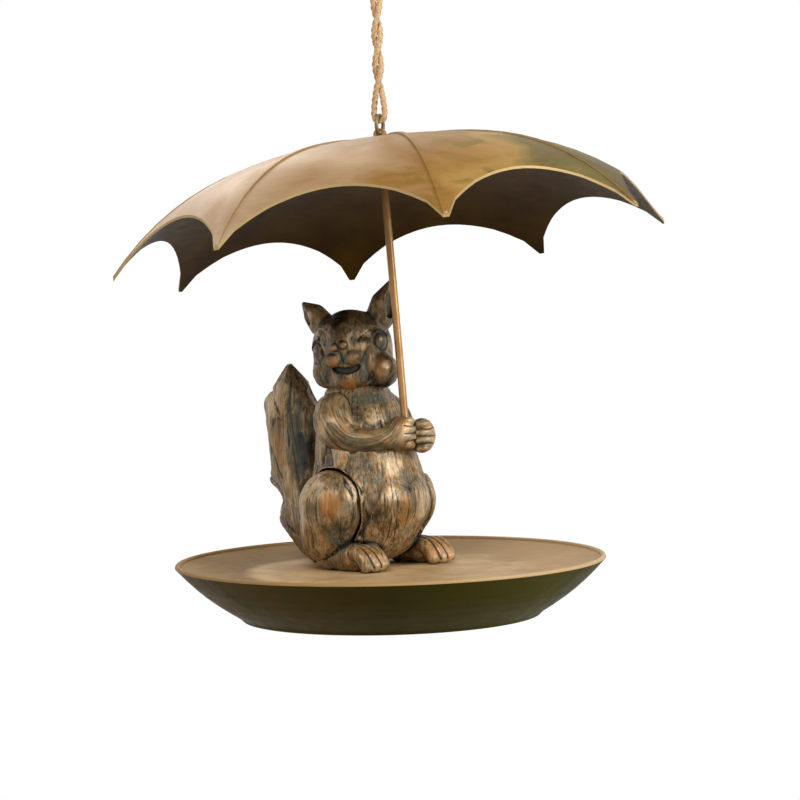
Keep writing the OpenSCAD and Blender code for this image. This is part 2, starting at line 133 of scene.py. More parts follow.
def add_world():
    """Even dim light, with a white background for the camera and for what shines or is clear."""
    world = bpy.data.worlds.new("studio")
    world.use_nodes = True
    bpy.context.scene.world = world
    m = Nodes(world.node_tree)
    m.tree.nodes.clear()
    path = m.node("LightPath").outputs
    seen = m.math("MAXIMUM", path["Is Camera Ray"], path["Is Transmission Ray"])
    bright = m.math("MAXIMUM", seen, path["Is Glossy Ray"])
    strength = m.node("MapRange", {"Value": bright, "To Min": STUDIO_DIM, "To Max": 1}).outputs[0]
    white = m.node("Background", {"Color": (1, 1, 1, 1), "Strength": strength}).outputs[0]
    m.node("OutputWorld", {"Surface": white})


def add_ground():
    """A pale round floor that fades to the white background away from the object."""
    m = Shader("ground_pale", (0.86, 0.86, 0.85), roughness=0.9)
    path = m.node("LightPath").outputs
    near, far = (edge * MM for edge in GROUND_FADE)
    away = m.node("MapRange", {"Value": m.vector("LENGTH", m.coordinates("Object")),
                               "From Min": near, "From Max": far}).outputs[0]
    seen = m.math("MAXIMUM", path["Is Camera Ray"], path["Is Glossy Ray"])
    white = m.node("Emission", {"Color": (1, 1, 1, 1), "Strength": 1}).outputs[0]
    mix = m.node("MixShader", {0: m.math("MULTIPLY", away, seen), 1: m.surface, 2: white})
    m.put(m.output.inputs["Surface"], mix.outputs[0])
    rim = [(GROUND_R * cos(a), GROUND_R * sin(a), TRAY_LOW[2] - GROUND_DROP)
           for a in 2 * pi * np.arange(GROUND_SIDES) / GROUND_SIDES]
    add_shape("ground", rim, [range(GROUND_SIDES)], m.material)


# Materials: each is a short chain of nodes in the object's own millimetres

ACROSS_VIEW = (0.64, -0.77, 0)
NUMBERS = ("DOT_PRODUCT", "DISTANCE", "LENGTH")


class Nodes:
    """A tree of shader nodes, built node by node."""

    def __init__(self, tree):
        self.tree = tree

    def put(self, socket, value):
        """Links another socket to this one, or sets its value."""
        if isinstance(value, bpy.types.NodeSocket):
            self.tree.links.new(value, socket)
        else:
            socket.default_value = value

    def node(self, kind, inputs=None, **settings):
        made = self.tree.nodes.new("ShaderNode" + kind)
        for key, value in settings.items():
            setattr(made, key, value)
        for key, value in (inputs or {}).items():
            self.put(made.inputs[key], value)
        return made

    def math(self, operation, a, b=0, c=0, clamp=False):
        made = self.node("Math", {0: a, 1: b, 2: c}, operation=operation, use_clamp=clamp)
        return made.outputs[0]

    def vector(self, operation, a, b=(0, 0, 0)):
        """A vector, or a number where the operation gives one."""
        made = self.node("VectorMath", {0: a, 1: b}, operation=operation)
        return made.outputs["Value" if operation in NUMBERS else "Vector"]


class Shader(Nodes):
    """One procedural material."""

    def __init__(self, name, colour, metal=0, roughness=0.5, shine=0.5):
        self.material = bpy.data.materials.new(name)
        self.material.use_nodes = True
        super().__init__(self.material.node_tree)
        self.bsdf = self.tree.nodes["Principled BSDF"]
        self.output = self.tree.nodes["Material Output"]
        self.surface = self.bsdf.outputs[0]
        self.paint((*colour, 1), roughness)
        self.bsdf.inputs["Metallic"].default_value = metal
        self.bsdf.inputs["Specular IOR Level"].default_value = shine

    def paint(self, colour, roughness):
        self.put(self.bsdf.inputs["Base Color"], colour)
        self.put(self.bsdf.inputs["Roughness"], roughness)

    def coordinates(self, kind):
        return self.node("TexCoord").outputs[kind]

    def place(self, stretch=(1, 1, 1)):
        """The object's own place in millimetres, squeezed along each axis."""
        return self.node("Mapping", {"Vector": self.coordinates("Object"),
                                     "Scale": tuple(s / MM for s in stretch)}).outputs[0]

    def upright(self, vector):
        return self.node("SeparateXYZ", {0: vector}).outputs["Z"]

    def side(self, slope, middle=0.5):
        """A value that grows by that slope a millimetre from the photograph's left to its right."""
        across = self.vector("DOT_PRODUCT", self.place(), ACROSS_VIEW)
        return self.math("MULTIPLY_ADD", across, slope, middle)

    def noise(self, size, detail=3, rough=0.55, stretch=(1, 1, 1), warp=0, at=None):
        """Cloudy noise whose lumps are about that many millimetres wide."""
        return self.node("TexNoise", {"Vector": at or self.place(stretch), "Scale": 1 / size,
                                      "Detail": detail, "Roughness": rough,
                                      "Distortion": warp}).outputs["Fac"]

    def attribute(self, name, output="Fac"):
        return self.node("Attribute", attribute_name=name).outputs[output]

    def ramp(self, value, *stops):
        """A colour or a grey between stops, each a place from 0 to 1 and what it has there."""
        made = self.node("ValToRGB", {"Fac": value})
        elements = made.color_ramp.elements
        while len(elements) < len(stops):
            elements.new(0.5)
        for element, (at, colour) in zip(elements, stops):
            element.position = at
            element.color = (*(colour if isinstance(colour, tuple) else [colour] * 3), 1)
        return made.outputs["Color"]

    def mix(self, share, a, b):
        a, b = ((*v, 1) if isinstance(v, tuple) else v for v in (a, b))
        made = self.node("Mix", {0: share, 6: a, 7: b}, data_type="RGBA", clamp_factor=True)
        return made.outputs[2]

    def over(self, colour, paint, value, *stops):
        """The colour with paint over it, as thick as a ramp of the value says."""
        return self.mix(self.ramp(value, *stops), colour, paint)

    def times(self, colour, factor):
        return self.node("VectorMath", {0: colour, "Scale": factor}, operation="SCALE").outputs[0]

    def bump(self, height, depth, over=None):
        """Relief of about that many millimetres between the height's 0 and 1."""
        inputs = {"Height": height, "Strength": 1, "Distance": depth * MM}
        if over:
            inputs["Normal"] = over
        self.put(self.bsdf.inputs["Normal"], self.node("Bump", inputs).outputs[0])


def squirrel_bronze():
    """Cast bronze over carved wood grain: tan where it is rubbed, pale painted highlights and
    darker painted shade carried by the tone, teal paint that is partly painted shade, nearly black
    in the hollows.
    """
    m = Shader("squirrel_bronze", (0.2, 0.13, 0.06), metal=0.25, roughness=0.4, shine=0.4)
    flow = m.attribute("flow", "Vector")
    base = m.ramp(m.noise(3.6, 3, 0.5, warp=0.6), (0.3, (0.08, 0.075, 0.045)),
                  (0.42, (0.24, 0.12, 0.03)), (0.52, (0.38, 0.24, 0.1)),
                  (0.6, (0.11, 0.125, 0.085)), (0.7, (0.36, 0.16, 0.04)))
    band = m.ramp(m.noise(1.1, 3, 0.6, warp=0.3, at=flow), (0.34, (0.05, 0.06, 0.045)),
                  (0.43, (0.16, 0.1, 0.035)), (0.5, (0.42, 0.2, 0.06)), (0.56, (0.48, 0.36, 0.2)),
                  (0.63, (0.18, 0.19, 0.135)), (0.7, (0.44, 0.22, 0.07)))
    streak = m.noise(0.42, 4, 0.6, warp=0.2, at=flow)
    colour = m.mix(0.5, base, band)
    colour = m.over(colour, (0.035, 0.035, 0.022), streak, (0.36, 0.8), (0.47, 0))
    colour = m.over(colour, (0.56, 0.42, 0.25), streak, (0.55, 0), (0.68, 0.6))
    # The tone holds each knife patch's own lighter or darker paint, together with the painted
    # highlights and painted shade laid round places. It scales the colour, and where it is high the
    # colour turns pale as a painted highlight.
    tone = m.attribute("tone")
    colour = m.times(colour, m.math("MULTIPLY_ADD", tone, 1.9, 0.05))
    colour = m.over(colour, m.mix(0.35, (0.68, 0.56, 0.4), colour), tone, (0.55, 0), (1, 0.8))
    # Copper where the bronze shows through. Teal paint, part of it painted shade under the chin,
    # under the arms and where the tail meets the body.
    for name, share, paint in (("copper", 0.7, (0.42, 0.17, 0.03)),
                               ("teal", 0.75, (0.045, 0.075, 0.058))):
        colour = m.mix(m.math("MULTIPLY", m.attribute(name), share), colour, paint)
    colour = m.over(colour, (0.6, 0.45, 0.27), m.attribute("ridge"), (0.5, 0), (1, 0.65))
    hollow = m.attribute("hollow")
    colour = m.over(colour, (0.014, 0.018, 0.013), hollow, (0.28, 0), (0.8, 0.96))
    m.paint(colour, m.ramp(streak, (0.35, 0.5), (0.7, 0.34)))
    m.bump(m.noise(0.25, 3, 0.6, at=flow), 0.04)
    return m.material


CROWN = (0, -0.126, EYE_Z - 1.595)
CANOPY_AXIS = (0, sin(CANOPY_LEAN), cos(CANOPY_LEAN))
CANOPY_R = 58.7
CANOPY_DROP = 22.5
RIM_SHARE = 0.55


def canopy_normal(m, facing):
    """The dome's own smooth normal on the sheet's two faces, and the facing one on its edges."""
    place = m.vector("SUBTRACT", m.place(), CROWN)
    height = m.vector("DOT_PRODUCT", place, CANOPY_AXIS)
    radial = m.vector("SUBTRACT", place, m.times(CANOPY_AXIS, height))
    fall = CANOPY_DROP / CANOPY_R ** 2
    steepness = m.math("MULTIPLY_ADD", m.vector("DOT_PRODUCT", radial, radial),
                       fall * 4 * RIM_SHARE / CANOPY_R ** 2, fall * 2 * (1 - RIM_SHARE))
    up = m.vector("NORMALIZE", m.vector("ADD", m.times(radial, steepness), CANOPY_AXIS))
    match = m.vector("DOT_PRODUCT", facing, up)
    smooth = m.times(up, m.math("SIGN", match))
    own = m.over(facing, smooth, m.math("ABSOLUTE", match), (0.8, 0), (0.9, 1))
    return m.node("VectorTransform", {0: own}, vector_type="NORMAL", convert_from="OBJECT",
                  convert_to="WORLD").outputs[0]


def sheet_brass():
    """Painted sheet: brass on top, pale at one side as a painted sheen and darker at the other as
    painted shade, smudged olive there; nearly black below as painted shade, with painted highlights
    on its edges.
    """
    m = Shader("canopy_brass", (0.5, 0.3, 0.12), metal=0.2, roughness=0.42, shine=0.04)
    facing = m.coordinates("Normal")
    upward = m.upright(facing)
    cloud = m.noise(16, 3, 0.5, warp=0.5)
    brushed = m.noise(0.7, 3, 0.6, stretch=(0.15, 0.15, 1), warp=0.2)
    # Painted sheen and painted shade: the top is pale to the left and grows darker to the right, as
    # the light falls, clouded a little
    side = m.side(0.0085, m.math("MULTIPLY_ADD", cloud, 0.5, 0.25))
    top = m.ramp(side, (0.1, (0.72, 0.55, 0.41)), (0.3, (0.46, 0.3, 0.165)),
                 (0.42, (0.37, 0.22, 0.095)), (0.54, (0.27, 0.125, 0.018)),
                 (0.68, (0.4, 0.235, 0.055)), (0.78, (0.16, 0.11, 0.018)),
                 (0.92, (0.07, 0.042, 0.006)))
    lines = m.ramp(brushed, (0.35, (0.2, 0.12, 0.04)), (0.7, (0.6, 0.44, 0.25)))
    smudge = m.ramp(m.noise(9, 3, 0.5, stretch=(1, 1, 1.6), warp=0.9), (0.52, 0), (0.62, 0.8))
    smudge = m.math("MULTIPLY", smudge, m.ramp(side, (0.45, 0), (0.7, 1)))
    top = m.mix(smudge, m.mix(0.12, top, lines), (0.13, 0.11, 0.018))
    # The underside painted nearly black as painted shade
    under = m.ramp(m.noise(9), (0.3, (0.03, 0.012, 0)), (0.7, (0.055, 0.026, 0)))
    colour = m.over(under, top, upward, (0, 0), (0.12, 1))
    # Painted highlight: pale gold on the sheet's edges, which face sideways
    colour = m.over(colour, (0.42, 0.29, 0.13), m.math("ABSOLUTE", upward), (0.3, 1), (0.5, 0))
    m.paint(colour, m.ramp(brushed, (0.3, 0.38), (0.7, 0.5)))
    m.bump(brushed, 0.005, canopy_normal(m, facing))
    return m.material


DISH_R = 50
LIP_H = 0.8


def tray_brass():
    """Painted casting: tan inside the dish, gold on the rim and dark olive outside, with painted
    shade on the dish's left wall and outside and painted light along the rim.
    """
    m = Shader("tray_brass", (0.45, 0.3, 0.16), roughness=0.6, shine=0.02)
    cloud = m.noise(9, 4, 0.6, warp=0.5)
    side = m.side(0.011)
    inside = m.ramp(cloud, (0.3, (0.42, 0.27, 0.12)), (0.55, (0.56, 0.385, 0.2)),
                    (0.75, (0.62, 0.445, 0.25)))
    # Painted shade: the dish's wall darker to the left and lighter to the right
    wall = m.ramp(side, (0.15, (0.2, 0.115, 0.035)), (0.6, (0.36, 0.225, 0.095)),
                  (0.85, (0.5, 0.33, 0.165)))
    away = m.vector("DISTANCE", m.place(), (*TRAY_AT[:2], BODY_AT[2]))
    away = m.math("DIVIDE", m.math("MULTIPLY_ADD", m.noise(14, 2), 3, away), DISH_R)
    inside = m.over(inside, wall, away, (0.6, 0), (0.66, 0.9), (0.9, 0.7))
    # The outside dark olive, deepened as painted shade on the faces that look down
    outside = m.ramp(side, (0.1, (0.06, 0.034, 0.003)), (0.5, (0.03, 0.019, 0.001)),
                     (0.8, (0.05, 0.042, 0.002)))
    outside = m.over(outside, (0.03, 0.027, 0.002), cloud, (0.4, 0), (0.7, 0.6))
    upward = m.upright(m.coordinates("Normal"))
    colour = m.over(outside, inside, upward, (0.02, 0), (0.1, 1))
    # The gold rim lip, lighter to the right as painted light
    lip = m.ramp(side, (0.2, (0.36, 0.22, 0.09)), (0.55, (0.44, 0.27, 0.11)),
                 (0.75, (0.6, 0.44, 0.25)))
    height = m.math("SUBTRACT", m.upright(m.place()), float(TRAY_HIGH[2]) - LIP_H, clamp=True)
    colour = m.over(colour, lip, height, (0.3, 0), (0.7, 1))
    m.paint(colour, m.ramp(m.noise(3), (0.3, 0.4), (0.7, 0.55)))
    m.bump(m.noise(1.5, 4), 0.012)
    return m.material


def brass(name, colour, dark, metal=0.6):
    """Plain brass, copper or steel, clouded and lightly brushed."""
    m = Shader(name, colour, metal, roughness=0.38)
    m.paint(m.ramp(m.noise(6, 4, 0.6, warp=0.8), (0.32, dark), (0.6, colour)),
            m.ramp(m.noise(2.5), (0.3, 0.3), (0.7, 0.5)))
    m.bump(m.noise(0.8), 0.02)
    return m.material


def jute():
    m = Shader("jute", (0.6, 0.42, 0.24), shine=0.2)
    fibre = m.noise(0.25, 4, 0.7, stretch=(1, 1, 0.2))
    m.paint(m.ramp(fibre, (0.3, (0.33, 0.19, 0.085)), (0.5, (0.7, 0.47, 0.25)),
                   (0.75, (0.82, 0.62, 0.39))), 0.9)
    m.bump(fibre, 0.08)
    return m.material


def add_mesh(name, points, faces, material, body):
    """A mesh piece from points in millimetres, riding on a body."""
    made = add_shape(name, points, faces, material)
    made.data.shade_smooth()
    made.data.update()
    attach(made, body)
    return made


# Twine: a bight through the ring, two strands twisted together, a knot and a loop

TWINE_D = 1.2
FUZZ = 1.1
PLIES = 3
PLY_PITCH = 4.2
PLY_SHARE = 0.27
HAIR = 0.02
ROPE_STEP = 0.3
RING_TOP = -42
BIGHT_R = 1.15
STRANDS_Z = RING_TOP + 1.2
STRAND_RISE = 24.2
STRAND_STEPS = 20
PAIR_R = 0.648
PAIR_RISE = 4
TWIST_RISE = 2
TWIST_PITCH = 13
KNOT_Z = -16
KNOT_H = 4
KNOT_STEPS = 64
KNOT_TURN_D = 1.5
KNOT_CORE_D = 2.4
IN_KNOT = 0.6
LOOP_R = 4


def ring_side(points):
    """Points given across and along the ring's plane, turned into the frame's axes."""
    p = np.asarray(points, float)
    c, s = cos(RING_TURN), sin(RING_TURN)
    return np.stack([p[:, 0] * c - p[:, 1] * s, p[:, 0] * s + p[:, 1] * c, p[:, 2]], 1)


def strand_points(start):
    """A strand from the ring up to the knot, which leaves the ring at that many degrees."""
    points = []
    for i in range(STRAND_STEPS + 1):
        rise = STRAND_RISE * i / STRAND_STEPS
        close = min(1, rise / PAIR_RISE)
        r = BIGHT_R + (PAIR_R - BIGHT_R) * close * close * (3 - 2 * close)
        turn = radians(start + 360 * max(0, rise - TWIST_RISE) / TWIST_PITCH)
        points.append([r * cos(turn), r * sin(turn), STRANDS_Z + rise])
    return points


def twine_route():
    """Down one strand from the knot, under the ring's top wire and up the other strand."""
    down, up = strand_points(90)[::-1], strand_points(270)
    bend = [[0, BIGHT_R * cos(a), RING_TOP - BIGHT_R * sin(a)]
            for a in np.radians(range(0, 181, 15))]
    start, end = ([x, y, STRANDS_Z + STRAND_RISE + IN_KNOT] for x, y, _ in (down[0], up[-1]))
    return ring_side([start] + down + bend + up + [end])


def loop_route():
    """From the knot's top round the loop that the hook takes, and back."""
    low, top = KNOT_Z + KNOT_H, TWINE_D / 2 - LOOP_R
    leg = [[PAIR_R, low], [PAIR_R, low + 0.6], [0.4 * LOOP_R, low + 2.6],
           [0.75 * LOOP_R, low + 4.8], [0.95 * LOOP_R, top - 1.6]]
    arc = [[LOOP_R * cos(a), top + LOOP_R * sin(a)]
           for a in np.radians(np.arange(0, 181, 22.5))]
    return ring_side([[0, x, z] for x, z in leg + arc + [[-x, z] for x, z in reversed(leg)]])


def smooth_route(points, step):
    """A curve through the points, about that many millimetres a step."""
    p = np.asarray(points, float)
    p = np.vstack([2 * p[0] - p[1], p, 2 * p[-1] - p[-2]])
    out = []
    for a, b, c, d in zip(p, p[1:], p[2:], p[3:]):
        n = max(1, round(np.linalg.norm(c - b) / step))
        for t in np.arange(n) / n:
            out.append(0.5 * (2 * b + (c - a) * t + (2 * a - 5 * b + 4 * c - d) * t * t
                              + (3 * b - a - 3 * c + d) * t ** 3))
    return np.array(out + [p[-2]])


def frames_along(path):
    """For each point two directions square to the path, carried along without twist."""
    headings = unit(np.gradient(path, axis=0))
    side = np.cross(headings[0], [0.3, 0.5, 0.8])
    sides = []
    for heading in headings:
        side = side - heading * (side @ heading)
        side = side / np.linalg.norm(side)
        sides.append(side)
    return sides, np.cross(headings, sides)


def laid_rope(path, diameter, pitch=PLY_PITCH, around=30):
    """Points and faces of a rope whose plies turn round its middle, with closed ends."""
    run = np.concatenate([[0], np.cumsum(lengths(np.diff(path, axis=0)))])
    ply_r = diameter * PLY_SHARE
    off = diameter / 2 - ply_r
    angle = np.arange(around) * 2 * pi / around
    points = []
    for middle, side, up, length in zip(path, *frames_along(path), run):
        local = (angle - 2 * pi * length / pitch) % (2 * pi / PLIES) - pi / PLIES
        square = np.maximum(ply_r ** 2 - (off * np.sin(local)) ** 2, 0)
        radius = off * np.cos(local) + np.sqrt(square)
        radius = radius * (1 + HAIR * np.sin(9 * angle + 3.1 * length))
        out = np.outer(np.cos(angle), side) + np.outer(np.sin(angle), up)
        points.append(middle + radius[:, None] * out)
    top = (len(points) - 1) * around
    ring = [(k, (k + 1) % around) for k in range(around)]
    faces = [(i + a, i + b, i + b + around, i + a + around) for i in range(0, top, around)
             for a, b in ring]
    for a, b in ring:
        faces += [(a, top + around, b), (top + a, top + b, top + around + 1)]
    return np.vstack([*points, path[:1], path[-1:]]), faces


def rope_piece(name, route, material):
    path = smooth_route(route, ROPE_STEP)
    points, faces = laid_rope(path, TWINE_D * FUZZ)
    return add_mesh(name, points, faces, material, "hanger"), path


def add_twine(material):
    twine, path = rope_piece("twine", twine_route(), material)
    loop, loop_path = rope_piece("twine_loop", loop_route(), material)
    knot = add_knot(material)
    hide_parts("ring_bight", "twine_strands")
    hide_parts("hanging_loop")
    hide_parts("twine_knot")


def add_knot(material):
    """An overhand knot drawn tight: one fat turn of doubled twine over another."""
    turns = []
    for a in 2 * pi * np.arange(KNOT_STEPS + 1) / KNOT_STEPS:
        r = 1.05 + 0.38 * cos(3 * a / 2) ** 2
        rise = KNOT_H / 2 + 1.15 * sin(3 * a)
        turns.append([r * cos(a * 2), r * sin(a * 2), KNOT_Z + rise])
    points, faces = laid_rope(np.array(turns), KNOT_TURN_D, around=24)
    core = [[0, 0, KNOT_Z + rise] for rise in (0.1, 1.3, 2.7, 3.9)]
    core_points, core_faces = laid_rope(smooth_route(core, ROPE_STEP), KNOT_CORE_D, pitch=9)
    faces += [tuple(v + len(points) for v in f) for f in core_faces]
    return add_mesh("twine_knot_turns", np.vstack([points, core_points]), faces, material, "hanger")


# Clay: forms held as distances on a grid, joined and cut, and then turned into meshes

FAR = 6
ADD_REACH = 2.5
CUT_REACH = 1


class Clay:
    """A form as distances on a grid of voxels, in millimetres: below 0 is inside it."""

    def __init__(self, low, high, voxel):
        self.low = np.array(low, float)
        self.voxel = voxel
        count = np.ceil((np.array(high, float) - self.low) / voxel).astype(int) + 1
        self.field = np.full(count, FAR, np.float32)
        self.grooves = []

    def window(self, low, high):
        """The grid's part between two corners, and the places of its voxels."""
        first = np.floor((low - self.low) / self.voxel).astype(int)
        last = np.ceil((high - self.low) / self.voxel).astype(int) + 1
        first, last = (np.clip(corner, 0, self.field.shape) for corner in (first, last))
        axes = [(self.low[i] + self.voxel * np.arange(first[i], last[i])).astype(np.float32)
                for i in range(3)]
        return tuple(map(slice, first, last)), np.meshgrid(*axes, indexing="ij", sparse=True)

    def add(self, shape, blend=0.3):
        low, high, distance = shape
        reach = blend + ADD_REACH
        part, xyz = self.window(low - reach, high + reach)
        self.field[part] = blended(self.field[part], distance(*xyz), blend)

    def cut(self, shape, blend=0.2):
        low, high, distance = shape
        part, xyz = self.window(low - blend - CUT_REACH, high + blend + CUT_REACH)
        self.field[part] = -blended(-self.field[part], distance(*xyz), blend)

    def flatten_below(self, z):
        """Cuts the form off flat at that height."""
        heights = self.low[2] + self.voxel * np.arange(self.field.shape[2])
        self.field = np.maximum(self.field, (z - heights).astype(np.float32))

    def value(self, points):
        """The distance at any points, read between the voxels."""
        p = (np.asarray(points) - self.low) / self.voxel
        p = np.clip(p, 0, np.array(self.field.shape) - 1.001)
        i = p.astype(int)
        return sum(share * self.field[tuple((i + corner).T)] for corner, share in corners(p - i))

    def outward(self, points, step):
        """Which way is out of the form at each point, judged over that distance."""
        slope = [self.value(points + step * e) - self.value(points - step * e) for e in np.eye(3)]
        return unit(np.stack(slope, 1), 1e-9)

    def on_surface(self, points, lift=0):
        """The points moved to the form's surface, and lifted off it by that much."""
        p = np.array(points, float)
        for _ in range(4):
            p -= self.outward(p, self.voxel) * (self.value(p) - lift)[:, None]
        return p

    def score(self, points, radius, blend=0.15, lift=0):
        """Cuts a groove of that radius along a line drawn on the surface."""
        line = self.on_surface(smooth_route(points, 0.6), lift)
        self.cut(limb(line, radius, step=0.25), blend)
        self.ink(line, radius)

    def ink(self, points, radius):
        """Dark paint along a line, without a cut."""
        self.grooves += [(place, radius) for place in smooth_route(points, 0.2)]

    def mesh(self):
        """The surface as a skin of four-sided faces that look outward."""
        band = 3 * self.voxel
        grid = openvdb.FloatGrid(band)
        grid.copyFromArray(np.clip(self.field, -band, band))
        points, quads = grid.convertToQuads()
        points = points * self.voxel + self.low
        a, b, c = (points[quads[:, k]] for k in range(3))
        if dots(np.cross(b - a, c - a), (a + b + c) / 3 - points.mean(0)).sum() < 0:
            quads = quads[:, ::-1]
        return Skin(points, quads, self)


def corners(f):
    """A unit cell's eight corners, each with its share of what is read at the places f in it."""
    for corner in np.ndindex(2, 2, 2):
        x, y, z = (abs(1 - corner[i] - f[:, i]) for i in range(3))
        yield corner, x * y * z


def blended(a, b, k):
    """The smaller of two distances, rounded over k millimetres where they meet."""
    if k <= 0:
        return np.minimum(a, b)
    h = np.clip(0.5 + 0.5 * (a - b) / k, 0, 1)
    return a * (1 - h) + b * h - k * h * (1 - h)


def ball(place, half, turn=None):
    """An ellipsoid with those half sizes, along a matrix's columns where one is given."""
    place, half = np.array(place, float), np.ones(3) * half
    reach = half if turn is None else np.ones(3) * half.max()

    def distance(x, y, z):
        p = (x - place[0], y - place[1], z - place[2])
        if turn is not None:
            p = [p[0] * turn[0][i] + p[1] * turn[1][i] + p[2] * turn[2][i] for i in range(3)]
        k0 = np.sqrt(sum((p[i] / half[i]) ** 2 for i in range(3)))
        k1 = np.sqrt(sum((p[i] / half[i] ** 2) ** 2 for i in range(3)))
        return (k0 * (k0 - 1) / np.maximum(k1, 1e-4)).astype(np.float32)

    return place - reach, place + reach, distance


def chain(stations, steps=6):
    """Ellipsoids from station to station, each given as (place, half sizes)."""
    balls = []
    for (p, h), (q, g) in zip(stations, stations[1:]):
        p, h, q, g = (np.array(v, float) for v in (p, h, q, g))
        balls += [ball(p + (q - p) * t, h + (g - h) * t) for t in np.linspace(0, 1, steps)]
    lows, highs, distances = zip(*balls)

    def distance(x, y, z):
        total = distances[0](x, y, z)
        for each in distances[1:]:
            total = np.minimum(total, each(x, y, z))
        return total

    return np.min(lows, axis=0), np.max(highs, axis=0), distance


def limb(points, radius, step=0.5):
    """A round limb along a smooth line, whose radius may change from point to point."""
    points = np.array(points, float)
    path = smooth_route(np.column_stack([points, np.ones(len(points)) * radius]), step)
    low = (path[:, :3] - path[:, 3:]).min(0)
    high = (path[:, :3] + path[:, 3:]).max(0)

    def distance(x, y, z):
        total = np.inf
        for cx, cy, cz, r in path:
            total = np.minimum(total, np.sqrt((x - cx) ** 2 + (y - cy) ** 2 + (z - cz) ** 2) - r)
        return total.astype(np.float32)

    return low, high, distance


# Carving: the knife's flat cuts and the grain, worked into a mesh along its normals

def lattice(i, j, k, seed):
    """An even random number from 0 to 1 for each place of a whole-number lattice."""
    h = (i * 374761393 + j * 668265263 + k * 1440670441 + seed * 974634777) & 0xFFFFFFFF
    h = ((h ^ (h >> 13)) * 1274126177) & 0xFFFFFFFF
    return ((h ^ (h >> 16)) & 0xFFFF) / 65535


def cloud(p, seed=0):
    """Smooth noise from 0 to 1, with lumps one unit wide."""
    whole = np.floor(p).astype(np.int64)
    f = p - whole
    f = f * f * (3 - 2 * f)
    return sum(share * lattice(*(whole + corner).T, seed) for corner, share in corners(f))


